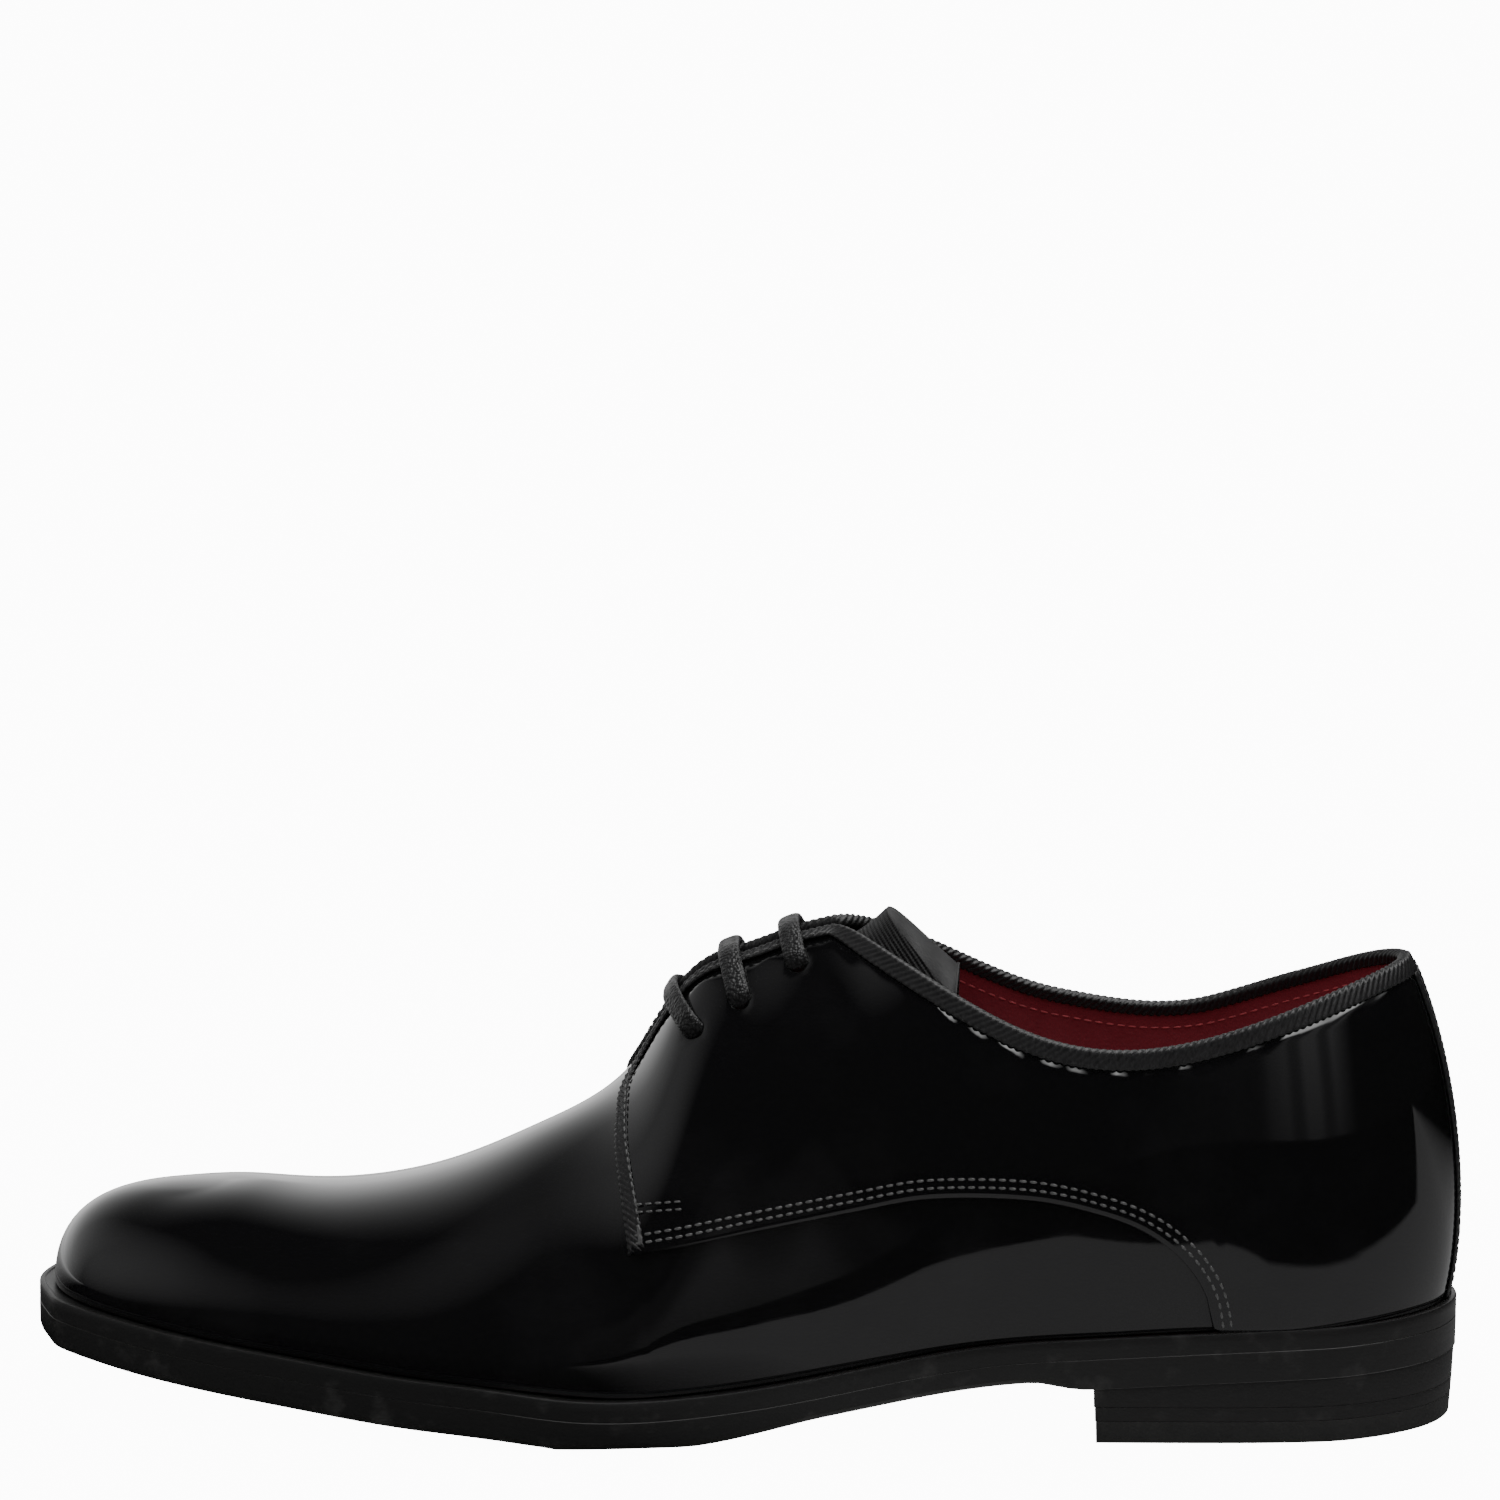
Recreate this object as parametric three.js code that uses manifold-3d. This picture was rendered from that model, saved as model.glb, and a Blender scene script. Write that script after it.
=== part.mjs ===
// A lace-up dress shoe, for the left foot: plain-toe vamp, open-laced quarters bound with ribbon, full lining,
// welted sole and stacked heel. Every piece is a separate solid, as it would lie on a shoemaker's bench.
// Millimetres. +Z is up, the toe points to -X, and the lateral (outer) side faces -Y.
import * as THREE from "three";
import { mergeVertices } from "three/addons/utils/BufferGeometryUtils.js";
import Module from "manifold-3d";

const wasm = await Module();
wasm.setup();

// ---- Driving dimensions ----
const SOLE_LENGTH = 298;
const BALL_WIDTH = 103; // outsole, at the joint of the toes
const WAIST_WIDTH = 66; // outsole, under the arch
const HEEL_WIDTH = 67; // outsole, at the seat
const OUTSOLE_THICKNESS = 6.3; // forefoot
const WAIST_THICKNESS = 5; // the outsole is pared thinner under the arch
const WELT_THICKNESS = 4;
const TOE_SPRING = 11; // how far the tip of the tread stands off the ground
const HEEL_SEAT_RISE = 22; // ground to the top of the welt, at the heel's breast
const HEEL_PITCH = 3; // the seat rises this much more towards the back
const HEEL_LENGTH = 76; // breast to back
const TOP_PIECE_THICKNESS = 4.6;
const LOWER_LIFT_THICKNESS = 2.7;
const HEEL_TRIM = 0.3; // the upper lift stands this far inside the outsole
const HEEL_TAPER = 0.35; // and each lift is trimmed in by this much more than the one above
const TOE_BOX_HEIGHT = 18.8; // welt to the crown, over the toes
const INSTEP_HEIGHT = 86.5; // welt to the ridge, at the top of the facings
const CONE_HEIGHT = INSTEP_HEIGHT + 14.5; // welt to the closed top of the last, over the ankle
const WELT_SHOW_FRONT = 3.4; // width of welt that shows round the forefoot
const WELT_SHOW_BACK = 2.2;
const WELT_SHOW_MORE = 1.2; // added right behind the heel
const LEATHER = 1.2; // vamp and quarters
const LINING = 0.9;
const COUNTER = 1.2; // heel stiffener
const PUFF = 0.6; // toe stiffener
const RIBBON = 0.6; // binding tape
const BINDING_WIDTH = 4.2; // how far the binding laps onto the quarter
const GAP = 0.3; // clearance between neighbouring layers
const SEAM_LAP = 8; // how far the vamp runs under the quarters
const FACING_GAP = 10; // between the two facings, over the tongue
const LENGTHWISE = SOLE_LENGTH / 298; // places along the shoe follow its length
const UPWARDS = INSTEP_HEIGHT / 86.5; // and the edges of the quarters follow its height
const FACING_FRONT = -22.8 * LENGTHWISE; // where the facings' front edge stands
const EYELETS_AT = [ // X of each pair, and the distance from the facing's edge
  [-9.5 * LENGTHWISE, 13], [-0.4 * LENGTHWISE, 10.6], [11.2 * LENGTHWISE, 7.1],
];
const MEDIAL_DIP = 3.4; // the topline lies this much lower on the medial side, behind the ankle
const EYELET_WALL = 0.3;
const EYELET_FLANGE = 0.4; // its thickness, against the lining
const STAY = 1; // reinforcement under the row of eyelets
const STAY_WIDTH = 16;
const LACE_R = 1.2; // the flat lace, gathered round
const EYELET_HOLE_R = 1.75 * LACE_R; // clear bore for the lace
const EYELET_FLANGE_R = EYELET_HOLE_R + 0.5;
const AGLET_R = 1.5;
const AGLET_LENGTH = 16;
const TONGUE_TIP = [29.5 * LENGTHWISE, 103.5 * UPWARDS]; // where the tongue's top edge crosses the ridge
const TONGUE_CORNER = [50 * LENGTHWISE, 83 * UPWARDS]; // and where it ends, low at the sides
const TONGUE_FRONT_X = -34 * LENGTHWISE;
const TONGUE_FLARE = 3.2; // its free end stands this much nearer to the surface
const TONGUE_THICKNESS = 1.6;
const TONGUE_LINING = 0.8;
const TONGUE_HALF_WIDTH = 23;
const INSOLE_THICKNESS = 2.4;
const INSOLE_ABOVE_WELT = 1;
const SOCK_THICKNESS = 1.2;
const SHANK = [104, 14, 1.1]; // length, width, thickness
const NAIL_R = 0.9;
const NAILS_AT = [[14, -18], [14, 18], [40, -18], [40, 18], [58, 0]]; // behind the breast, and across
const BACK_STRIP_WIDTH = 12;

// Where each layer lies, measured outwards from the vamp's outer surface.
const QUARTER = [GAP, GAP + LEATHER];
const STRIP = [QUARTER[1] + GAP, QUARTER[1] + GAP + RIBBON];
const LINED = [-LEATHER - GAP - LINING, -LEATHER - GAP];
const BINDING = [LINED[0] - GAP - RIBBON, STRIP[1]];
const FLANGE_TOP = LINED[0] - 2 * GAP;
const LACE_ABOVE = BINDING[1] + GAP + LACE_R;
const LACE_BELOW = FLANGE_TOP - EYELET_FLANGE - 2 * GAP - LACE_R;
const TONGUE_TOP = LACE_BELOW - LACE_R - 4 * GAP;
const TONGUE = [TONGUE_TOP - TONGUE_THICKNESS, TONGUE_TOP];
const TONGUE_LINED = [TONGUE[0] - GAP - TONGUE_LINING, TONGUE[0] - GAP];

// ---- Small maths ----
const lerp = THREE.MathUtils.lerp;
const smooth = (x, a, b) => THREE.MathUtils.smoothstep(x, a, b);
const range = (n) => [...Array(n).keys()];

// A natural cubic spline through rows of numbers, spaced by the given knots.
function spline(knots, rows) {
  const n = knots.length;
  const width = rows[0].length;
  const second = range(n).map(() => new Array(width).fill(0));
  for (let c = 0; c < width; c++) {
    const diag = new Array(n).fill(1);
    const rhs = new Array(n).fill(0);
    const upper = new Array(n).fill(0);
    for (let i = 1; i < n - 1; i++) {
      const a = knots[i] - knots[i - 1];
      const b = knots[i + 1] - knots[i];
      diag[i] = 2 * (a + b) - a * upper[i - 1];
      const bend = (rows[i + 1][c] - rows[i][c]) / b - (rows[i][c] - rows[i - 1][c]) / a;
      upper[i] = b / diag[i];
      rhs[i] = (6 * bend - a * rhs[i - 1]) / diag[i];
    }
    for (let i = n - 2; i > 0; i--) second[i][c] = rhs[i] - upper[i] * second[i + 1][c];
  }
  return (t) => {
    let i = 0;
    while (i < n - 2 && t > knots[i + 1]) i++;
    const step = knots[i + 1] - knots[i];
    const b = (t - knots[i]) / step;
    const a = 1 - b;
    return rows[i].map(
      (v, c) =>
        a * v + b * rows[i + 1][c] +
        (((a ** 3 - a) * second[i][c] + (b ** 3 - b) * second[i + 1][c]) * step * step) / 6,
    );
  };
}
const curve = (points) => {
  const f = spline(points.map((p) => p[0]), points.map((p) => p.slice(1)));
  return (x) => f(THREE.MathUtils.clamp(x, points[0][0], points.at(-1)[0]))[0];
};

// ---- The sole's lines ----
const BACK_X = SOLE_LENGTH / 2;
const TOE_X = -SOLE_LENGTH / 2;
const BREAST_X = BACK_X - HEEL_LENGTH;
const along = (share) => BACK_X - share * SOLE_LENGTH; // 0 at the back of the heel, 1 at the toe
const ball = BALL_WIDTH / 2;
const waist = WAIST_WIDTH / 2;
const heel = HEEL_WIDTH / 2;

// The outline in plan, from the back of the heel to the toe: [share of length, Y].
const LATERAL = [
  [0, 0], [0.018, -0.47 * heel], [0.066, -0.83 * heel], [0.125, -0.98 * heel], [0.25, -heel - 2.6],
  [0.37, -waist - 4.5], [0.49, -0.87 * ball], [0.61, -ball], [0.71, -0.97 * ball], [0.82, -0.83 * ball],
  [0.91, -0.655 * ball], [0.97, -0.43 * ball], [0.988, -0.27 * ball], [1, 0],
];
const MEDIAL = [
  [0, 0], [0.018, 0.47 * heel], [0.066, 0.83 * heel], [0.125, 0.98 * heel], [0.25, heel - 1.2],
  [0.37, waist - 1.5], [0.47, waist + 2.5], [0.57, 0.87 * ball], [0.66, 0.985 * ball], [0.76, 0.97 * ball],
  [0.86, 0.84 * ball], [0.94, 0.63 * ball], [0.985, 0.34 * ball], [1, 0],
];
const SPAN_STEPS = 14;

// The outline's two sides, moved inwards by inset(x), each as a list from the heel to the toe.
function sides(inset) {
  const marks = [...LATERAL, ...MEDIAL.slice(1, -1).reverse()];
  const corners = marks.map(([share, y]) => new THREE.Vector3(along(share), y, 0));
  const path = new THREE.CatmullRomCurve3(corners, true, "catmullrom", 0.5);
  const line = path.getPoints(SPAN_STEPS * marks.length).slice(0, -1);
  const n = line.length;
  const moved = line.map((p, i) => {
    const t = line[(i + 1) % n].clone().sub(line[(i + n - 1) % n]).normalize();
    return new THREE.Vector2(p.x + t.y * inset(p.x), p.y - t.x * inset(p.x));
  });
  const toe = SPAN_STEPS * (LATERAL.length - 1);
  return { lateral: moved.slice(0, toe + 1), medial: [...moved.slice(toe), moved[0]].reverse() };
}

function acrossAt(line, x) {
  for (let i = 0; i + 1 < line.length; i++)
    if (line[i].x >= x && line[i + 1].x <= x) {
      const span = line[i].x - line[i + 1].x || 1;
      return lerp(line[i].y, line[i + 1].y, (line[i].x - x) / span);
    }
  return x > line[0].x ? line[0].y : line.at(-1).y;
}

// Heights of the tread and of the welt's top, along X.
const FLAT_FROM = along(0.62);
const FLAT_TO = along(0.53);
const pared = (x) => smooth(x, FLAT_TO, 20 * LENGTHWISE) * (1 - smooth(x, BREAST_X - 12, BREAST_X - 3));
const outsole = (x) => lerp(OUTSOLE_THICKNESS, WAIST_THICKNESS, pared(x));
const weltTop = curve([
  [TOE_X - 5, TOE_SPRING + 10.9], [-130 * LENGTHWISE, 0.80 * TOE_SPRING + 10.9],
  [-109 * LENGTHWISE, 0.6 * TOE_SPRING + 10.9], [-88 * LENGTHWISE, 0.42 * TOE_SPRING + 10.9],
  [-67 * LENGTHWISE, 0.26 * TOE_SPRING + 10.7], [-46 * LENGTHWISE, 0.11 * TOE_SPRING + 10.8],
  [FLAT_FROM, OUTSOLE_THICKNESS + WELT_THICKNESS + GAP + 0.2],
  [FLAT_TO, OUTSOLE_THICKNESS + WELT_THICKNESS + GAP],
  [14 * LENGTHWISE, HEEL_SEAT_RISE - 8.6], [34 * LENGTHWISE, HEEL_SEAT_RISE - 5],
  [54 * LENGTHWISE, HEEL_SEAT_RISE - 1.6], [Math.max(BREAST_X, 55 * LENGTHWISE), HEEL_SEAT_RISE],
  [BREAST_X + 35, HEEL_SEAT_RISE + 0.6 * HEEL_PITCH], [BACK_X + 5, HEEL_SEAT_RISE + HEEL_PITCH],
]);
const outsoleTop = (x) => weltTop(x) - WELT_THICKNESS - GAP;
const onGround = (x) => x > FLAT_FROM && x < FLAT_TO;
const outsoleBottom = (x) => (onGround(x) ? 0 : Math.max(outsoleTop(x) - outsole(x), 0));

// ---- The last: the closed form that the upper is pulled over ----
// Each rib rises from the feather line (the welt's inner corner) to the ridge, as one cubic curve.
// [share of length, ridge X, ridge Y, ridge height over the welt, flare, rise, reach]
const weltShow = (x) =>
  lerp(WELT_SHOW_FRONT, WELT_SHOW_BACK, smooth(x, 0, 60 * LENGTHWISE)) +
  WELT_SHOW_MORE * smooth(x, BACK_X - 31, BACK_X - 3);
const feather = sides(weltShow);
const RIBS = [
  [1, -119, 1.5, TOE_BOX_HEIGHT + 4.4, 0.4, 0.44, 22.5],
  [0.975, -116, 1.5, TOE_BOX_HEIGHT + 5, 0.8, 0.45, 22],
  [0.94, -110, 2, TOE_BOX_HEIGHT + 5.8, 1.2, 0.46, 22.5],
  [0.88, -101, 2, TOE_BOX_HEIGHT + 6.8, 1.8, 0.47, 23],
  [0.80, -87, 2, TOE_BOX_HEIGHT + 7.5, 2.4, 0.48, 23],
  [0.72, -65, 1.5, TOE_BOX_HEIGHT + 13.9, 2.8, 0.48, 22],
  [0.647, -44, 1, TOE_BOX_HEIGHT + 24.9, 3, 0.46, 21],
  [0.584, -25, 0.5, TOE_BOX_HEIGHT + 39.3, 3, 0.43, 20],
  [0.54, -12, 0, INSTEP_HEIGHT - 9.2, 3, 0.4, 20],
  [0.5, 0, 0, INSTEP_HEIGHT - 3.4, 3, 0.38, 20],
  [0.46, 12, 0, INSTEP_HEIGHT - 0.4, 3.2, 0.36, 20],
  [0.42, 24, 0, INSTEP_HEIGHT + 1.6, 3.4, 0.35, 20],
  [0.375, 37, 0, INSTEP_HEIGHT + 8.5, 3.6, 0.34, 21],
  [0.325, 52, 0, CONE_HEIGHT - 2.8, 3.8, 0.32, 23.5],
  [0.25, 74, 0, CONE_HEIGHT, 4, 0.31, 26],
  [0.175, 94, 0, CONE_HEIGHT - 1.2, 4.2, 0.31, 28],
  [0.095, 105, 0, CONE_HEIGHT - 4.4, 4.4, 0.32, 28.5],
  [0.03, 109.5, 0, CONE_HEIGHT - 6.2, 6.2, 0.33, 28],
  [0, 110, 0, CONE_HEIGHT - 6.5, 7, 0.33, 28],
].map(([share, x, ...rest]) => [share, x * LENGTHWISE, ...rest]);

// The ribs' four control points, on one side.
function ribRows(line) {
  return RIBS.map(([share, x, y, height, flare, rise, reach]) => {
    const end = share === 0 ? line[0] : share === 1 ? line.at(-1) : null;
    const baseX = end ? end.x : along(share);
    const baseY = end ? end.y : acrossAt(line, baseX);
    const foot = new THREE.Vector3(baseX, baseY, weltTop(baseX) + GAP);
    const top = new THREE.Vector3(x, y, weltTop(x) + height);
    const out = foot.clone().sub(top).setZ(0).normalize();
    const low = foot.clone().addScaledVector(out, flare);
    low.z = lerp(foot.z, top.z, rise);
    const high = top.clone().addScaledVector(out, reach);
    return [...foot.toArray(), ...low.toArray(), ...high.toArray(), ...top.toArray()];
  });
}

// One closed loop of ribs: toe, lateral side, back of the heel, medial side, toe again.
const LAST_RIB = RIBS.length - 1;
const lateralRows = ribRows(feather.lateral);
const medialRows = ribRows(feather.medial);
const OVERLAP_RIBS = 4; // the loop's ends repeat this many ribs, so that it joins smoothly
const loopRow = (i) => {
  const k = THREE.MathUtils.euclideanModulo(i, 2 * LAST_RIB);
  return k <= LAST_RIB ? lateralRows[k] : medialRows[2 * LAST_RIB - k];
};
const loopKnots = range(2 * LAST_RIB + 2 * OVERLAP_RIBS + 1).map((i) => i - OVERLAP_RIBS);
const ribAt = spline(loopKnots, loopKnots.map(loopRow));

// A point on the last: u counts ribs round the loop, h runs from the feather line to the ridge.
function lastPoint(u, h) {
  const r = ribAt(u);
  const k = 1 - h;
  const w = [k ** 3, 3 * k * k * h, 3 * k * h * h, h ** 3];
  return new THREE.Vector3(...range(3).map((c) => range(4).reduce((sum, q) => sum + w[q] * r[3 * q + c], 0)));
}
const NUDGE = 0.02;
function lastNormal(u, h) {
  const hh = THREE.MathUtils.clamp(h, NUDGE, 1 - NUDGE);
  const du = lastPoint(u + NUDGE, hh).sub(lastPoint(u - NUDGE, hh));
  const dh = lastPoint(u, hh + NUDGE).sub(lastPoint(u, hh - NUDGE));
  return du.cross(dh).normalize();
}
const onLast = (u, h, off) => lastPoint(u, h).addScaledVector(lastNormal(u, h), off);

// The loop coordinate of a point of the given side at X = x and height share h.
function findU(side, x, h) {
  let [low, high] = side === "lateral" ? [0, LAST_RIB] : [2 * LAST_RIB, LAST_RIB];
  for (let i = 0; i < 40; i++) {
    const mid = (low + high) / 2;
    if (lastPoint(mid, h).x < x) low = mid;
    else high = mid;
  }
  return (low + high) / 2;
}
// The point of a side's surface at (x, z), or at (x, y) if a Y is given.
function findOn(side, x, { z, y }) {
  let [low, high] = [0, 1];
  for (let i = 0; i < 40; i++) {
    const mid = (low + high) / 2;
    const p = lastPoint(findU(side, x, mid), mid);
    const below = y === undefined ? p.z < z : Math.abs(p.y) > Math.abs(y);
    if (below) low = mid;
    else high = mid;
  }
  const h = (low + high) / 2;
  return { u: findU(side, x, h), h };
}

// ---- Solids ----
const STATIONS = 26; // cross sections of a slab
function toSolid(geometry) {
  const bare = geometry.index ? geometry.toNonIndexed() : geometry.clone();
  bare.deleteAttribute("normal");
  bare.deleteAttribute("uv");
  const merged = mergeVertices(bare, 1e-4);
  const mesh = new wasm.Mesh({
    numProp: 3,
    vertProperties: new Float32Array(merged.attributes.position.array),
    triVerts: new Uint32Array(merged.index.array),
  });
  return new wasm.Manifold(mesh);
}
function toGeometry(solid) {
  const mesh = solid.getMesh();
  const geometry = new THREE.BufferGeometry();
  geometry.setAttribute("position", new THREE.BufferAttribute(new Float32Array(mesh.vertProperties), 3));
  geometry.setIndex(new THREE.BufferAttribute(new Uint32Array(mesh.triVerts), 1));
  return geometry.toNonIndexed();
}
function fromTriangles(points, triangles) {
  const geometry = new THREE.BufferGeometry();
  const flat = triangles.flat().flatMap((i) => points[i].toArray());
  geometry.setAttribute("position", new THREE.Float32BufferAttribute(flat, 3));
  return geometry;
}

// A side view outline, (x, z) pairs, as a block from y0 to y1.
function sideBlock(points, y0, y1) {
  const shape = new THREE.Shape(points.map(([x, z]) => new THREE.Vector2(x, z)));
  const geometry = new THREE.ExtrudeGeometry(shape, { depth: y1 - y0, bevelEnabled: false });
  geometry.rotateX(Math.PI / 2).translate(0, y1, 0);
  return toSolid(geometry);
}
const smoothLine = (points, n = 4) =>
  new THREE.SplineCurve(points.map(([x, z]) => new THREE.Vector2(x, z)))
    .getPoints(n * (points.length - 1))
    .map((p) => p.toArray());

// ---- The upper's shells: the last's surface, thickened between two offsets ----
const RIB_STEPS = 2; // rows between neighbouring ribs
const HEIGHTS = [0, 0.14, 0.3, 0.45, 0.6, 0.72, 0.82, 0.91, 1]; // closest where the ribs turn over the ridge
const surface = (() => {
  const points = [];
  const triangles = [];
  const index = new Map();
  const rows = 2 * LAST_RIB * RIB_STEPS;
  const vertex = (i, j) => {
    const u = (i % rows) / RIB_STEPS;
    const h = HEIGHTS[j];
    const onRidge = h === 1;
    const p = lastPoint(onRidge && u > LAST_RIB ? 2 * LAST_RIB - u : u, h);
    const key = p.toArray().map((v) => v.toFixed(3)).join();
    if (!index.has(key)) {
      index.set(key, points.length);
      points.push(p);
    }
    return index.get(key);
  };
  for (let i = 0; i < rows; i++)
    for (let j = 0; j + 1 < HEIGHTS.length; j++) {
      const [a, b, c, d] = [vertex(i, j), vertex(i + 1, j), vertex(i + 1, j + 1), vertex(i, j + 1)];
      if (a !== b && b !== c && a !== c) triangles.push([a, b, c]);
      if (a !== c && c !== d && a !== d) triangles.push([a, c, d]);
    }
  const normals = points.map(() => new THREE.Vector3());
  for (const [a, b, c] of triangles) {
    const n = points[b].clone().sub(points[a]).cross(points[c].clone().sub(points[a]));
    for (const v of [a, b, c]) normals[v].add(n);
  }
  normals.forEach((n) => n.normalize());
  return { points, triangles, normals };
})();

// The last's surface thickened from one offset to another; an offset may vary with the place.
function shell([inner, outer]) {
  const { points, triangles, normals } = surface;
  const n = points.length;
  const at = (off) =>
    points.map((p, i) => p.clone().addScaledVector(normals[i], typeof off === "function" ? off(p) : off));
  const edges = new Map();
  for (const [a, b, c] of triangles)
    for (const [p, q] of [[a, b], [b, c], [c, a]]) edges.set(p + "," + q, [p, q]);
  const faces = [];
  for (const [a, b, c] of triangles) faces.push([a, b, c], [n + c, n + b, n + a]);
  for (const [p, q] of edges.values())
    if (!edges.has(q + "," + p)) faces.push([q, p, n + p], [q, n + p, n + q]);
  return toSolid(fromTriangles([...at(outer), ...at(inner)], faces));
}

// Everything below the welt's top, which the upper stands clear of.
const underWelt = slab(sides(() => -30), (x) => weltTop(x) - 40, (x) => weltTop(x) + GAP);

// ---- Outlines in side view, (x, z) ----
const scaled = (points) => points.map(([x, z]) => [x * LENGTHWISE, z * UPWARDS]);
const SEAM = scaled([ // lower edge of the quarters, from the facing's front corner to the welt
  [-20.6, 38.7], [3.4, 43.6], [23.5, 47.5], [39.6, 50.5], [59.8, 50.8], [74.1, 48.2], [84.3, 44.2],
  [92.5, 37.3], [97.2, 28.1], [98.5, 12],
]);
const TOPLINE = scaled([ // upper edge of the quarters, from the top of the facings to the back
  [-14, 116], [8, 105.5], [14, 102.3], [20, 100.2], [26, 98], [36, 93.4], [46, 88.3], [60, 82.4], [74, 79.9],
  [95, 82.5], [118, 90.4], [136, 95.8], [152, 97.6],
]);
const EDGE_TOP = 125 * UPWARDS; // above everything
// The facing's front edge, moved back by by, from the top to the corner of the seam.
const facingEdge = (by) => [
  [FACING_FRONT - 2 + by, EDGE_TOP], [FACING_FRONT - 2 + by, 64 * UPWARDS],
  [FACING_FRONT - 1 + by, 52 * UPWARDS],
  [SEAM[0][0] + by, SEAM[0][1]],
];

// A line moved to its left (upwards, for one that runs towards +X).
function moved(points, by) {
  return points.map(([x, z], i) => {
    const [x0, z0] = points[Math.max(i - 1, 0)];
    const [x1, z1] = points[Math.min(i + 1, points.length - 1)];
    const l = Math.hypot(x1 - x0, z1 - z0);
    return [x - ((z1 - z0) / l) * by, z + ((x1 - x0) / l) * by];
  });
}
const behindAnkle = (x) => smooth(x / LENGTHWISE, 66, 98) * (1 - smooth(x / LENGTHWISE, 116, 146));
const dip = (x) => MEDIAL_DIP * behindAnkle(x);
const sideTop = (side) => TOPLINE.map(([x, z]) => [x, side === "medial" ? z - dip(x) : z]);
const topEdge = (by, side) => smoothLine(moved(sideTop(side), by), 2);
const WIDE = 80; // half the width of a cutting block
const PAST = BACK_X + 11; // beyond the back of the heel
const BEFORE = TOE_X - 21; // and beyond the toe

// What lies under the topline moved up by rise, and at least inset away from the middle of the facings.
function sideRegion(side, rise, inset, lower, split) {
  const outline = [...lower, ...topEdge(rise, side).reverse()];
  const [y0, y1] = side === "lateral" ? [-WIDE, -split] : [split, WIDE];
  const block = sideBlock(outline, y0, y1);
  const half = FACING_GAP / 2 + inset;
  const end = 70 * LENGTHWISE;
  const throat = sideBlock([[BEFORE, -20], [end, -20], [end, EDGE_TOP], [BEFORE, EDGE_TOP]], -half, half);
  return block.subtract(throat);
}
const quarterFoot = [...facingEdge(0).slice(0, -1), ...smoothLine(SEAM, 2), [SEAM.at(-1)[0], -5], [PAST, -5]];

function quarter(side) {
  const solid = shell(QUARTER).intersect(sideRegion(side, 0, 0, quarterFoot, GAP / 2));
  return punched(solid, side, EYELET_HOLE_R);
}
function quarterLining(side) {
  const front = FACING_FRONT + GAP;
  const lower = [[front, EDGE_TOP], [front, -5], [PAST, -5]];
  const solid = shell(LINED).intersect(sideRegion(side, 0, 0, lower, GAP / 2)).subtract(underWelt);
  return punched(solid, side, EYELET_HOLE_R + EYELET_WALL + GAP / 2);
}
const lapLine = moved(SEAM, SEAM_LAP).slice(1);
const frontOf = (x) => sideBlock([[BEFORE, EDGE_TOP], [x, EDGE_TOP], [x, -5], [BEFORE, -5]], -WIDE, WIDE);
function vampRegion(grow) {
  const throat = FACING_FRONT + 3 + grow;
  const back = [[throat, EDGE_TOP], [throat, 58 * UPWARDS], [throat + 6, lapLine[0][1] - 3 + grow]];
  const end = lapLine.at(-1)[0] + 1.5;
  const outline = [
    [BEFORE, EDGE_TOP], ...back, ...smoothLine(moved(lapLine, grow), 2), [end + grow, -5], [BEFORE, -5],
  ];
  return sideBlock(outline, -WIDE, WIDE);
}
const vamp = () => shell([-LEATHER, 0]).intersect(vampRegion(0)).subtract(underWelt);
const PUFF_BACK = -116 * LENGTHWISE;
const puffDeep = (p) => -(PUFF + GAP) * (1 - smooth(p.x, PUFF_BACK + 1, PUFF_BACK + 14));
function vampLining() {
  const layer = [(p) => LINED[0] + puffDeep(p), (p) => LINED[1] + puffDeep(p)];
  return shell(layer).intersect(frontOf(FACING_FRONT)).subtract(underWelt);
}
const toePuff = () => shell([LINED[1] - PUFF, LINED[1]]).intersect(frontOf(PUFF_BACK)).subtract(underWelt);
function heelCounter() {
  const outline = [[112, -5], [110.5, 25], [106, 42], [98, 54], [96, 62], [108, 68], [155, 72], [155, -5]];
  return shell([-COUNTER, 0]).intersect(sideBlock(scaled(outline), -WIDE, WIDE));
}
function backStrip() {
  const half = BACK_STRIP_WIDTH / 2;
  const from = 110 * LENGTHWISE;
  const top = topEdge(-BINDING_WIDTH - GAP, "medial").filter(([x]) => x > from);
  const outline = [[from, -5], ...top, [PAST, -5]];
  return shell(STRIP).intersect(sideBlock(outline, -half, half)).subtract(underWelt);
}

// Ribbon folded over the edge of the quarters: up the front of each facing, along it and round the topline.
function collarBinding() {
  const onFacing = 0.5 * BINDING_WIDTH;
  const [cornerX, cornerZ] = SEAM[0];
  const end = cornerX + onFacing + 5;
  const outer = (rise) => {
    const low = [...facingEdge(-rise), [end, cornerZ + 1], [end, -20], [PAST, -20]];
    return sideRegion("lateral", rise, -rise, low, 0).add(sideRegion("medial", rise, -rise, low, 0));
  };
  const low = [...facingEdge(onFacing), [cornerX + onFacing, -20], [PAST, -20]];
  const inside = (side) => sideRegion(side, -BINDING_WIDTH, onFacing, low, 0);
  const band = outer(GAP + RIBBON).subtract(inside("lateral").add(inside("medial")));
  const core = shell([BINDING[0] + RIBBON, BINDING[1] - RIBBON]).intersect(outer(GAP));
  const overVamp = shell([BINDING[0] - 1, GAP]).intersect(vampRegion(GAP));
  return shell(BINDING).intersect(band).subtract(core).subtract(overVamp);
}

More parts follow.
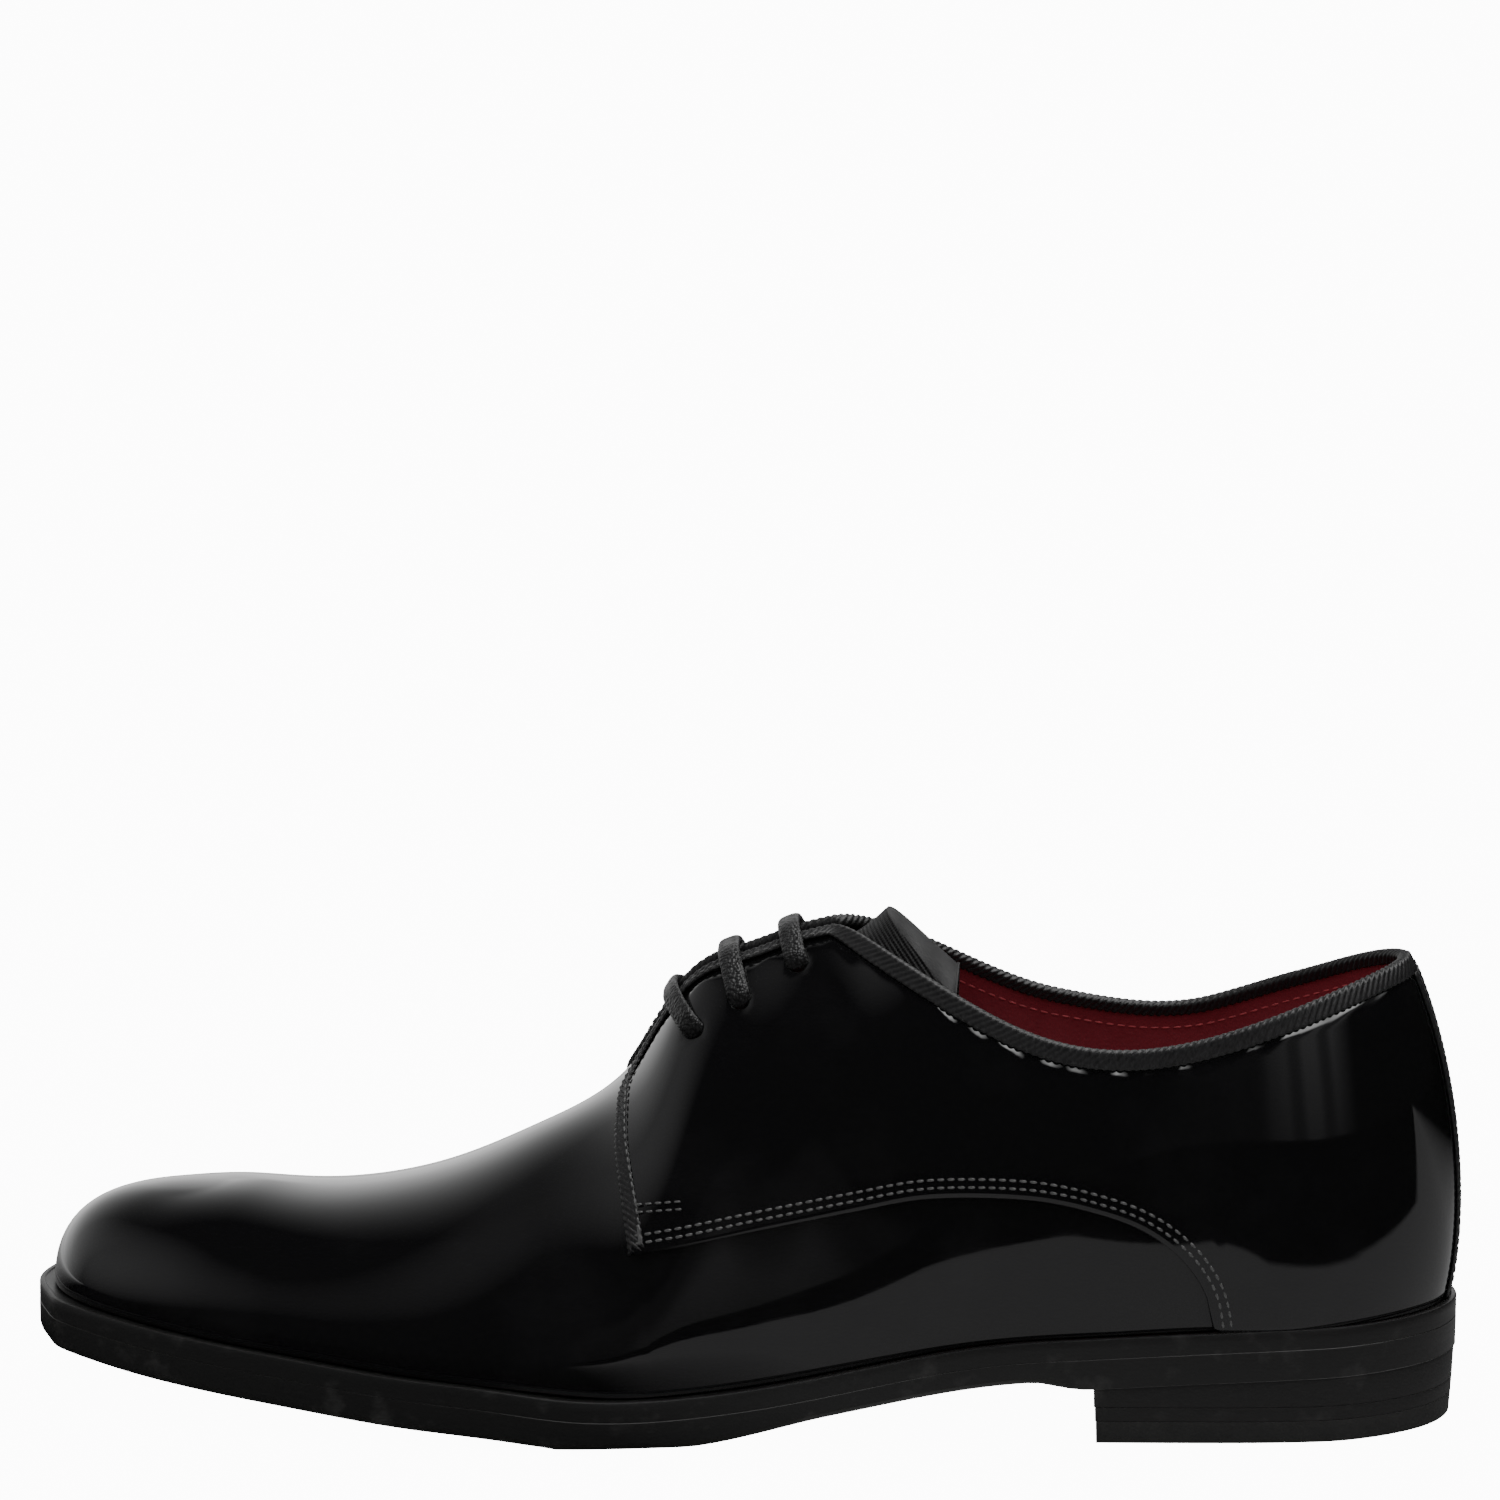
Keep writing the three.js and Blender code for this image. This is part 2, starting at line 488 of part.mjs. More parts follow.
// A point at the given offset from the faceted surface that the shells follow.
function onFacets({ u, h }, off) {
  const out = lastNormal(u, h);
  const ray = new THREE.Ray(onLast(u, h, 10), out.clone().negate());
  const hit = new THREE.Vector3();
  const near = surface.triangles
    .map((triangle) => triangle.map((corner) => surface.points[corner]))
    .filter((corners) => ray.intersectTriangle(...corners, false, hit))
    .map((corners) => ray.intersectTriangle(...corners, false, hit).distanceTo(ray.origin));
  return ray.origin.clone().addScaledVector(out, off - Math.min(...near));
}

// ---- Facings: eyelets and their stays ----
const BARREL_TOP = -GAP;
const eyeletY = (i) => FACING_GAP / 2 + EYELETS_AT[i][1];
const eyeletPlaces = (side) => EYELETS_AT.map(([x], i) => findOn(side, x, { y: eyeletY(i) }));
const frameAt = (place) => {
  const up = new THREE.Vector3(0, 1, 0);
  const turn = new THREE.Quaternion().setFromUnitVectors(up, lastNormal(place.u, place.h));
  return new THREE.Matrix4().compose(onFacets(place, 0), turn, new THREE.Vector3(1, 1, 1));
};
function punched(solid, side, radius) {
  const punch = (place) =>
    toSolid(new THREE.CylinderGeometry(radius, radius, 12, 12).applyMatrix4(frameAt(place)));
  return eyeletPlaces(side).reduce((left, place) => left.subtract(punch(place)), solid);
}
function eyeletStay(side) {
  const [y0, y1] = [FACING_GAP / 2 + 3, FACING_GAP / 2 + 3 + STAY_WIDTH];
  const [x0, x1] = [EYELETS_AT[0][0] - 7, EYELETS_AT[2][0] + 5];
  const [z0, z1] = [55 * UPWARDS, 110 * UPWARDS];
  const outline = [[x0, z0], [x0, z1], [x1, z1], [x1, z0]];
  const block = side === "lateral" ? sideBlock(outline, -y1, -y0) : sideBlock(outline, y0, y1);
  return punched(shell([-STAY, 0]).intersect(block), side, EYELET_HOLE_R + EYELET_WALL + GAP / 2);
}
function eyelet(place) {
  const wall = EYELET_HOLE_R + EYELET_WALL;
  const profile = [
    [EYELET_HOLE_R, FLANGE_TOP - EYELET_FLANGE], [EYELET_FLANGE_R, FLANGE_TOP - EYELET_FLANGE],
    [EYELET_FLANGE_R, FLANGE_TOP], [wall, FLANGE_TOP], [wall, BARREL_TOP], [EYELET_HOLE_R, BARREL_TOP],
    [EYELET_HOLE_R, FLANGE_TOP - EYELET_FLANGE],
  ];
  const turned = new THREE.LatheGeometry(profile.map(([r, y]) => new THREE.Vector2(r, y)), 12);
  return toSolid(turned.applyMatrix4(frameAt(place)));
}

// ---- Lace: three straight bars outside, its ends tucked in between the tongue and the quarters ----
// The place over a facing that is square to the throat at an eyelet, at y from the middle.
function squareTo(side, i, y) {
  const [x] = EYELETS_AT[i];
  const ridge = (at) => lastPoint(findU(side, at, 1), 1);
  const throat = ridge(x + 3).sub(ridge(x - 3)).normalize();
  const place = eyeletPlaces(side)[i];
  const eye = lastPoint(place.u, place.h);
  let [low, high] = [x - 20, x + 8];
  for (let k = 0; k < 14; k++) {
    const mid = (low + high) / 2;
    const at = findOn(side, mid, { y });
    if (lastPoint(at.u, at.h).sub(eye).dot(throat) < 0) low = mid;
    else high = mid;
  }
  return findOn(side, (low + high) / 2, { y });
}
function laceRoute() {
  const at = (side, i, off) => onFacets(eyeletPlaces(side)[i], off);
  const over = (side, i) => onFacets(squareTo(side, i, FACING_GAP / 2 + 1), LACE_ABOVE + GAP);
  const tail = (side, steps) => scaled(steps).map(([x, z]) => onFacets(findOn(side, x, { z }), LACE_BELOW));
  const between = (side, i) => {
    const x = (EYELETS_AT[i][0] + EYELETS_AT[i + 1][0]) / 2;
    return onFacets(findOn(side, x, { y: (eyeletY(i) + eyeletY(i + 1)) / 2 }), LACE_BELOW);
  };
  const bar = (i, from, to) => [
    at(from, i, LACE_BELOW), at(from, i, LACE_ABOVE), over(from, i), over(to, i), at(to, i, LACE_ABOVE),
    at(to, i, LACE_BELOW),
  ];
  return [
    ...tail("medial", [[28, 28], [14, 31], [4, 38], [-1, 47], [-5, 56], [-8, 65], [-9, 71]]),
    ...bar(0, "medial", "lateral"),
    between("lateral", 0),
    ...bar(1, "lateral", "medial"),
    between("medial", 1),
    ...bar(2, "medial", "lateral"),
    ...tail("lateral", [[13, 84], [14, 74], [16, 63], [20, 51], [27, 42], [34, 36]]),
  ];
}
const LACE_SIDES = 8;
const LACE_STEPS = 70;
function lace() {
  const path = new THREE.CatmullRomCurve3(laceRoute(), false, "centripetal");
  const circle = new THREE.Shape(range(LACE_SIDES).map((i) => {
    const a = (2 * Math.PI * i) / LACE_SIDES;
    return new THREE.Vector2(LACE_R * Math.cos(a), LACE_R * Math.sin(a));
  }));
  return toSolid(new THREE.ExtrudeGeometry(circle, { steps: LACE_STEPS, extrudePath: path }));
}
function aglet(end) {
  const path = new THREE.CatmullRomCurve3(laceRoute(), false, "centripetal");
  const [from, to] = end ? [path.getPoint(1), path.getPoint(0.99)] : [path.getPoint(0), path.getPoint(0.01)];
  const out = from.clone().sub(to).normalize();
  const turn = new THREE.Quaternion().setFromUnitVectors(new THREE.Vector3(0, 1, 0), out);
  const middle = from.clone().addScaledVector(out, GAP + AGLET_LENGTH / 2);
  const body = new THREE.CylinderGeometry(AGLET_R, AGLET_R, AGLET_LENGTH, 10);
  return toSolid(body.applyMatrix4(new THREE.Matrix4().compose(middle, turn, new THREE.Vector3(1, 1, 1))));
}

// ---- Tongue ----
const flare = (p) =>
  TONGUE_FLARE * smooth(p.x, 23 * LENGTHWISE, 34 * LENGTHWISE) * (1 - smooth(Math.abs(p.y), 4, 16));
function tonguePiece(layer, inset) {
  const [x, z] = [TONGUE_TIP[0], TONGUE_TIP[1] - inset];
  const [cornerX, cornerZ] = [TONGUE_CORNER[0], TONGUE_CORNER[1] - inset];
  const slope = (cornerZ - z) / (cornerX - x);
  const outline = [
    [TONGUE_FRONT_X + inset, 20], [TONGUE_FRONT_X + inset, EDGE_TOP], [x - 15, z - 15 * slope],
    [cornerX, cornerZ], [cornerX - 9, cornerZ - 24], [0, 40],
  ];
  const half = TONGUE_HALF_WIDTH - inset;
  const lifted = layer.map((off) => (p) => off + flare(p));
  return shell(lifted).intersect(sideBlock(outline, -half, half));
}

// ---- Sole and heel: slabs between two heights, inside an outline ----
function slab(line, bottom, top, from = -999, to = 999) {
  const x0 = Math.max(line.lateral.at(-1).x, from);
  const x1 = Math.min(line.lateral[0].x, to);
  const points = [];
  const triangles = [];
  for (let i = 0; i <= STATIONS; i++) {
    const x = lerp(x0, x1, (1 - Math.cos((Math.PI * i) / STATIONS)) / 2);
    const [a, b] = [acrossAt(line.lateral, x), acrossAt(line.medial, x)];
    for (const [y, z] of [[a, bottom(x)], [b, bottom(x)], [b, top(x)], [a, top(x)]])
      points.push(new THREE.Vector3(x, y, z));
  }
  for (let i = 0; i < STATIONS; i++)
    for (const q of range(4)) {
      const [a, b] = [4 * i + q, 4 * i + ((q + 1) % 4)];
      triangles.push([a, b + 4, a + 4], [a, b, b + 4]);
    }
  const last = 4 * STATIONS;
  triangles.push([0, 2, 1], [0, 3, 2], [last, last + 1, last + 2], [last, last + 2, last + 3]);
  return toSolid(fromTriangles(points, triangles));
}
const even = (inset) => sides(() => inset);
const featherInside = (inset) => sides((x) => weltShow(x) + inset);
const WELT_INSIDE = 3.4;
const insoleTop = (x) => weltTop(x) + INSOLE_ABOVE_WELT;
const insoleBottom = (x) => insoleTop(x) - INSOLE_THICKNESS;
const shift = (f, by) => (x) => f(x) + by;

function welt() {
  const ring = slab(even(0.4), shift(outsoleTop, GAP), weltTop);
  return ring.subtract(slab(featherInside(WELT_INSIDE), shift(outsoleTop, -5), shift(weltTop, 5)));
}
const insoleBoard = () => slab(featherInside(WELT_INSIDE + 1.2), insoleBottom, insoleTop);
const sockTop = shift(insoleTop, GAP + SOCK_THICKNESS);
const sockLiner = () => slab(featherInside(WELT_INSIDE + 1.6), shift(insoleTop, GAP), sockTop);
const shankMiddle = (BREAST_X + 12) - SHANK[0] / 2 + 20;
function shankAt(grow) {
  const [l, w, t] = SHANK;
  const [back, front] = [shankMiddle + l / 2 + grow, shankMiddle - l / 2 - grow];
  const edge = (y) => [new THREE.Vector2(back, y), new THREE.Vector2(front, y)];
  const line = { lateral: edge(-w / 2 - grow), medial: edge(w / 2 + grow) };
  const low = shift(insoleBottom, -GAP - t);
  return grow ? slab(line, shift(low, -grow), shift(low, 20)) : slab(line, low, shift(low, t));
}
function corkFiller() {
  const filler = slab(featherInside(WELT_INSIDE + GAP), shift(outsoleTop, GAP), shift(insoleBottom, -GAP));
  return filler.subtract(shankAt(GAP));
}
const heelLine = (layer) => even(HEEL_TRIM + HEEL_TAPER * layer);
const heelFrom = (layer) => BREAST_X + 0.5 + 0.3 * layer;
const seatUnder = shift(outsoleBottom, -GAP);
const LOWER_TOP = TOP_PIECE_THICKNESS + GAP + LOWER_LIFT_THICKNESS;
const upperLift = () => drilled(slab(heelLine(0), () => LOWER_TOP + GAP, seatUnder, heelFrom(0)));
const lowerLift = () =>
  drilled(slab(heelLine(1), () => TOP_PIECE_THICKNESS + GAP, () => LOWER_TOP, heelFrom(1)));
const topPiece = () => slab(heelLine(2), () => 0, () => TOP_PIECE_THICKNESS, heelFrom(2));
function nail([behind, y], grow = 0) {
  const x = BREAST_X + behind;
  const low = TOP_PIECE_THICKNESS + GAP - grow * 5;
  const high = outsoleTop(x) - 0.2 + grow * 5;
  const body = new THREE.CylinderGeometry(NAIL_R + grow, NAIL_R + grow, high - low, 10);
  return toSolid(body.rotateX(Math.PI / 2).translate(x, y, (low + high) / 2));
}
const drilled = (solid) => NAILS_AT.reduce((left, place) => left.subtract(nail(place, GAP)), solid);
const outsolePiece = () => drilled(slab(even(0), outsoleBottom, outsoleTop));

// ---- Assembly ----
const LEATHER_LOOK = { color: 0x0c0c0d, roughness: 0.12, metalness: 0 };
const LINING_LOOK = { color: 0x5a1118, roughness: 0.6, metalness: 0 };
const RIBBON_LOOK = { color: 0x101011, roughness: 0.75, metalness: 0 };
const BOARD_LOOK = { color: 0x9a7650, roughness: 0.8, metalness: 0 };
const HEEL_LOOK = { color: 0x141313, roughness: 0.4, metalness: 0 };
const STEEL_LOOK = { color: 0x8a8d90, roughness: 0.35, metalness: 1 };
const BRASS_LOOK = { color: 0x9a7a3c, roughness: 0.35, metalness: 1 };

const shoe = new THREE.Group();
shoe.name = "dress_shoe";
function add(name, solid, look) {
  const mesh = new THREE.Mesh(toGeometry(solid), new THREE.MeshStandardMaterial(look));
  mesh.name = name;
  shoe.add(mesh);
}

add("outsole", outsolePiece(), HEEL_LOOK);
add("welt", welt(), HEEL_LOOK);
add("heel_upper_lift", upperLift(), HEEL_LOOK);
add("heel_lower_lift", lowerLift(), HEEL_LOOK);
add("top_piece", topPiece(), { color: 0x0d0d0d, roughness: 0.8, metalness: 0 });
NAILS_AT.forEach((place, i) => add("heel_nail_" + (i + 1), nail(place), STEEL_LOOK));
add("shank", shankAt(0), STEEL_LOOK);
add("cork_filler", corkFiller(), BOARD_LOOK);
add("insole_board", insoleBoard(), BOARD_LOOK);
add("sock_liner", sockLiner(), LINING_LOOK);
add("vamp", vamp(), LEATHER_LOOK);
add("vamp_lining", vampLining(), LINING_LOOK);
add("toe_puff", toePuff(), BOARD_LOOK);
add("heel_counter", heelCounter(), BOARD_LOOK);
add("back_strip", backStrip(), RIBBON_LOOK);
add("collar_binding", collarBinding(), RIBBON_LOOK);
for (const side of ["lateral", "medial"]) {
  add(side + "_quarter", quarter(side), LEATHER_LOOK);
  add(side + "_quarter_lining", quarterLining(side), LINING_LOOK);
  add(side + "_eyelet_stay", eyeletStay(side), BOARD_LOOK);
  eyeletPlaces(side).forEach((place, i) => add(side + "_eyelet_" + (i + 1), eyelet(place), BRASS_LOOK));
}
add("lace", lace(), RIBBON_LOOK);
add("lateral_aglet", aglet(1), LEATHER_LOOK);
add("medial_aglet", aglet(0), LEATHER_LOOK);
add("tongue", tonguePiece(TONGUE, 0), RIBBON_LOOK);
add("tongue_lining", tonguePiece(TONGUE_LINED, 1), LINING_LOOK);

// The origin goes to the middle of the bounding box's base.
const box = new THREE.Box3().setFromObject(shoe);
const middle = box.getCenter(new THREE.Vector3());
shoe.position.set(-middle.x, -middle.y, -box.min.z);

export default shoe;
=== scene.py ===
"""Looks of a plain-toe, open-laced dress shoe in black patent leather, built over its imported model.

Lengths in the tables are millimetres, as in the part's own source; every Blender object is in metres. The toe points
to -X, the lateral (outer) side faces -Y, and the ground is at Z = 0.
"""

import logging
import math
from dataclasses import dataclass
from enum import Enum
from typing import Callable, Iterable, Sequence

import bpy
import numpy as np
from mathutils import Matrix, Vector


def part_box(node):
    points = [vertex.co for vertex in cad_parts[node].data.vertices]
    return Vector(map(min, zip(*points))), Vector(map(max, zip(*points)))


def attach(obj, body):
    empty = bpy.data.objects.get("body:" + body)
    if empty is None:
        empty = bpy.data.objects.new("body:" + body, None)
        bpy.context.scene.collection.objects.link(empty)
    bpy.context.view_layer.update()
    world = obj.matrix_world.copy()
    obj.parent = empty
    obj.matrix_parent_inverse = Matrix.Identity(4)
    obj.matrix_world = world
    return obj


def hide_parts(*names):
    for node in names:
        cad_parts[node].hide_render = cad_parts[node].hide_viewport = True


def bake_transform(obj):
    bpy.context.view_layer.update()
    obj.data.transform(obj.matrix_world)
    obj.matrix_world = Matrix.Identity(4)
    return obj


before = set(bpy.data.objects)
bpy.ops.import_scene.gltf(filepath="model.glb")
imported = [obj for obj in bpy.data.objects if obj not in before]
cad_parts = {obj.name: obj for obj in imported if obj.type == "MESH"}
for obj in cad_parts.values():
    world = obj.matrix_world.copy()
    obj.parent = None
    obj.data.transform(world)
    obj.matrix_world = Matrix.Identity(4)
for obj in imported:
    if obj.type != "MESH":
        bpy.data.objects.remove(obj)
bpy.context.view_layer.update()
log = logging.getLogger("shoe")
MM = 0.001
BODY = "shoe"
Array = np.ndarray


class Side(Enum):
    """The two sides of the shoe, with the sign that turns a count of ribs to that side."""

    LATERAL = 1
    MEDIAL = -1

    @property
    def word(self) -> str:
        """The side's name as used in piece names."""
        return self.name.lower()


# ---------------------------------------------------------------------------------------------- curves
def unit(v: Array) -> Array:
    """Vectors scaled to length one.

    Args:
        v: Array whose last axis holds the vectors.

    Returns:
        Array of the same shape.
    """
    return v / np.maximum(np.linalg.norm(v, axis=-1, keepdims=True), 1e-12)


def smooth(x: Array, a: float, b: float) -> Array:
    """A smooth step from 0 at a to 1 at b.

    Args:
        x: Where to evaluate it.
        a: Start of the step.
        b: End of the step.

    Returns:
        Values from 0 to 1.
    """
    t = np.clip((np.asarray(x, float) - a) / (b - a), 0, 1)
    return t * t * (3 - 2 * t)


class Spline:
    """A natural cubic spline through rows of numbers."""

    def __init__(self, knots: Sequence[float], rows: Sequence) -> None:
        """Solves for the spline's second derivatives.

        Args:
            knots: Increasing parameter values.
            rows: One value, or one list of values, for each knot.
        """
        self.t = np.array(knots, float)
        self.y = np.array(rows, float).reshape(len(knots), -1)
        step = np.diff(self.t)
        n = len(knots)
        matrix, rhs = np.eye(n), np.zeros_like(self.y)
        slope = np.diff(self.y, axis=0) / step[:, None]
        for i in range(1, n - 1):
            matrix[i, i - 1 : i + 2] = step[i - 1], 2 * (step[i - 1] + step[i]), step[i]
            rhs[i] = 6 * (slope[i] - slope[i - 1])
        self.bend = np.linalg.solve(matrix, rhs)

    def __call__(self, t: Array) -> Array:
        """The spline's rows at the given parameters.

        Args:
            t: Parameters, of any shape.

        Returns:
            Array of t's shape with one more axis for the columns.
        """
        t = np.clip(np.asarray(t, float), self.t[0], self.t[-1])
        i = np.clip(np.searchsorted(self.t, t, side="right") - 1, 0, len(self.t) - 2)
        step = (self.t[i + 1] - self.t[i])[..., None]
        b = (t - self.t[i])[..., None] / step
        a = 1 - b
        cubic = (a**3 - a) * self.bend[i] + (b**3 - b) * self.bend[i + 1]
        return a * self.y[i] + b * self.y[i + 1] + cubic * step**2 / 6


def profile(points: Sequence[tuple[float, float]]) -> Callable[[Array], Array]:
    """A height as a smooth function of X.

    Args:
        points: (x, height) pairs with X increasing.

    Returns:
        The function.
    """
    spline = Spline([p[0] for p in points], [p[1] for p in points])
    return lambda x: spline(x)[..., 0]


def through(points: Array, steps: int, closed: bool = False) -> Array:
    """A smooth curve through points, with the same number of steps in each span.

    Args:
        points: Rows of coordinates.
        steps: Steps in each span.
        closed: Whether the curve comes back to its start.

    Returns:
        The curve's points; a closed curve doesn't repeat its first.
    """
    p = np.array(points, float)
    n = len(p)
    spans = n if closed else n - 1
    out = []
    for i in range(spans):
        at = [(i + k) % n if closed else min(max(i + k, 0), n - 1) for k in (-1, 0, 1, 2)]
        p0, p1, p2, p3 = p[at]
        v0, v1 = (p2 - p0) / 2, (p3 - p1) / 2
        t = (np.arange(steps) / steps)[:, None]
        out.append((2 * p1 - 2 * p2 + v0 + v1) * t**3 + (-3 * p1 + 3 * p2 - 2 * v0 - v1) * t**2 + v0 * t + p1)
    if not closed:
        out.append(p[-1:])
    return np.concatenate(out)


def lengths(path: Array) -> Array:
    """Distance along a path at each of its points.

    Args:
        path: Rows of coordinates.

    Returns:
        One distance for each row, from 0.
    """
    return np.concatenate([[0], np.cumsum(np.linalg.norm(np.diff(path, axis=0), axis=1))])


def resample(path: Array, step: float, *extra: Array) -> tuple[Array, ...]:
    """A path, and what goes with its points, at even distances.

    Args:
        path: Rows of coordinates.
        step: Wanted distance between points.
        *extra: More rows for each point, treated alike.

    Returns:
        The new path and the new extra rows.
    """
    s = lengths(path)
    count = max(int(round(s[-1] / step)), 2)
    at = np.linspace(0, s[-1], count + 1)
    return tuple(np.stack([np.interp(at, s, a[:, c]) for c in range(a.shape[1])], 1) for a in (path, *extra))


# ---------------------------------------------------------------------------------------------- the form
@dataclass(frozen=True)
class Sizes:
    """The sizes that the shoe's form is worked out from, in millimetres."""

    sole_length: float = 298
    ball_width: float = 103
    waist_width: float = 66
    heel_width: float = 67
    heel_length: float = 76
    toe_spring: float = 11
    seat_rise: float = 22
    heel_pitch: float = 3
    outsole: float = 6.3
    waist_outsole: float = 5.0
    welt: float = 4
    toe_box: float = 18.8
    instep: float = 86.5
    cone: float = 101
    welt_front: float = 3.4
    welt_back: float = 2.2
    gap: float = 0.3
    top_piece: float = 4.6
    lower_lift: float = 2.7

    @property
    def breast_x(self) -> float:
        """Where the heel's front face stands."""
        return self.sole_length / 2 - self.heel_length

    def along(self, share: float) -> float:
        """X at a share of the sole's length, from 0 at the back of the heel to 1 at the toe."""
        return self.sole_length / 2 - share * self.sole_length


class Form:
    """The last's surface, and the sole's outline and heights, that all pieces follow."""

    def __init__(self, sizes: Sizes) -> None:
        """Works out the curves.

        Args:
            sizes: The shoe's driving sizes.
        """
        self.sizes = s = sizes
        ball, waist, heel = s.ball_width / 2, s.waist_width / 2, s.heel_width / 2
        self.lateral_marks = [
            (0, 0), (0.018, -0.47 * heel), (0.066, -0.83 * heel), (0.125, -0.98 * heel), (0.25, -heel - 2.6),
            (0.37, -waist - 4.5), (0.49, -0.87 * ball), (0.61, -ball), (0.71, -0.97 * ball), (0.82, -0.83 * ball),
            (0.91, -0.655 * ball), (0.97, -0.43 * ball), (0.988, -0.27 * ball), (1, 0),
        ]
        self.medial_marks = [
            (0, 0), (0.018, 0.47 * heel), (0.066, 0.83 * heel), (0.125, 0.98 * heel), (0.25, heel - 1.2),
            (0.37, waist - 1.5), (0.47, waist + 2.5), (0.57, 0.87 * ball), (0.66, 0.985 * ball), (0.76, 0.97 * ball),
            (0.86, 0.84 * ball), (0.94, 0.63 * ball), (0.985, 0.34 * ball), (1, 0),
        ]
        flat_from, flat_to = s.along(0.62), s.along(0.53)
        toe, back, breast, spring, seat = -s.sole_length / 2, s.sole_length / 2, s.breast_x, s.toe_spring, s.seat_rise
        self.flat = (flat_from, flat_to)
        self.welt_top = profile([
            (toe - 5, spring + 10.9), (-130, 0.80 * spring + 10.9), (-109, 0.6 * spring + 10.9),
            (-88, 0.42 * spring + 10.9), (-67, 0.26 * spring + 10.7), (-46, 0.11 * spring + 10.8),
            (flat_from, s.outsole + s.welt + s.gap + 0.2), (flat_to, s.outsole + s.welt + s.gap),
            (14, 13.4), (34, 17), (54, seat - 1.6), (breast, seat), (breast + 35, seat + 0.6 * s.heel_pitch),
            (back + 5, seat + s.heel_pitch),
        ])
        box = s.toe_box
        high, cone = s.instep, s.cone
        self.rib_marks = [
            (1, -119, 1.5, box + 4.4, 0.4, 0.44, 22.5), (0.975, -116, 1.5, box + 5.0, 0.8, 0.45, 22),
            (0.94, -110, 2, box + 5.8, 1.2, 0.46, 22.5), (0.88, -101, 2, box + 6.8, 1.8, 0.47, 23),
            (0.80, -87, 2, box + 7.5, 2.4, 0.48, 23), (0.72, -65, 1.5, box + 13.9, 2.8, 0.48, 22),
            (0.647, -44, 1, box + 24.9, 3, 0.46, 21), (0.584, -25, 0.5, box + 39.3, 3, 0.43, 20),
            (0.54, -12, 0, high - 9.2, 3, 0.4, 20), (0.5, 0, 0, high - 3.4, 3, 0.38, 20),
            (0.46, 12, 0, high - 0.4, 3.2, 0.36, 20), (0.42, 24, 0, high + 1.6, 3.4, 0.35, 20),
            (0.375, 37, 0, high + 8.5, 3.6, 0.34, 21), (0.325, 52, 0, cone - 2.8, 3.8, 0.32, 23.5),
            (0.25, 74, 0, cone, 4, 0.31, 26), (0.175, 94, 0, cone - 1.2, 4.2, 0.31, 28),
            (0.095, 105, 0, cone - 4.4, 4.4, 0.32, 28.5), (0.03, 109.5, 0, cone - 6.2, 6.2, 0.33, 28),
            (0, 110, 0, cone - 6.5, 7, 0.33, 28),
        ]
        self.last_rib = len(self.rib_marks) - 1
        rows = {side: self._rib_rows(side) for side in Side}
        spare = 4
        count = 2 * self.last_rib
        knots = list(range(-spare, count + spare + 1))
        loop = []
        for k in knots:
            k %= count
            loop.append(rows[Side.LATERAL][k] if k <= self.last_rib else rows[Side.MEDIAL][count - k])
        self.ribs = Spline(knots, loop)
        self.count = count
        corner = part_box("outsole")[0] / MM
        outline = self.outline(0)
        self.shift = np.array([corner.x - outline[:, 0].min(), corner.y - outline[:, 1].min(), 0.0])

    def outline(self, inset: float | Callable[[Array], Array], steps: int = 14) -> Array:
        """The sole's closed outline in plan, moved inwards.

        Args:
            inset: Distance, or a function of X that gives it.
            steps: Points in each span.

        Returns:
            (x, y) rows, from the back of the heel along the lateral side to the toe and back along the medial side.
        """
        marks = self.lateral_marks + self.medial_marks[-2:0:-1]
        line = through([(self.sizes.along(a), y) for a, y in marks], steps, closed=True)
        tangent = unit(np.roll(line, -1, 0) - np.roll(line, 1, 0))
        inward = np.stack([-tangent[:, 1], tangent[:, 0]], 1) * -1
        distance = inset(line[:, 0]) if callable(inset) else inset
        return line + inward * np.reshape(distance, (-1, 1))

    def across(self, side: Side, inset: float | Callable[[Array], Array], x: Array) -> Array:
        """Y of one side of the outline at X.

        Args:
            side: Which side.
            inset: As in outline().
            x: Where.

        Returns:
            The Y values.
        """
        line = self.outline(inset)
        toe = 14 * (len(self.lateral_marks) - 1)
        half = line[: toe + 1] if side is Side.LATERAL else np.concatenate([line[toe:], line[:1]])[::-1]
        return np.interp(x, half[::-1, 0], half[::-1, 1])

    def welt_show(self, x: Array) -> Array:
        """How much welt shows outside the upper at X."""
        s = self.sizes
        return s.welt_front + (s.welt_back - s.welt_front) * smooth(x, 0, 60) + 1.2 * smooth(x, 118, 146)

    def _rib_rows(self, side: Side) -> list[Array]:
        """Control points of the ribs on one side.

        Args:
            side: Which side.

        Returns:
            One row of twelve numbers for each rib.
        """
        line = self.outline(self.welt_show)
        toe = 14 * (len(self.lateral_marks) - 1)
        rows = []
        for share, x, y, height, flare, rise, reach in self.rib_marks:
            if share in (0, 1):
                base_x, base_y = line[0] if share == 0 else line[toe]
            else:
                base_x = self.sizes.along(share)
                base_y = float(self.across(side, self.welt_show, np.array(base_x)))
            foot = np.array([base_x, base_y, float(self.welt_top(base_x)) + self.sizes.gap])
            top = np.array([x, y, float(self.welt_top(x)) + height])
            out = unit((foot - top) * (1, 1, 0))
            low = foot + out * flare
            low[2] = foot[2] + (top[2] - foot[2]) * rise
            rows.append(np.concatenate([foot, low, top + out * reach, top]))
        return rows

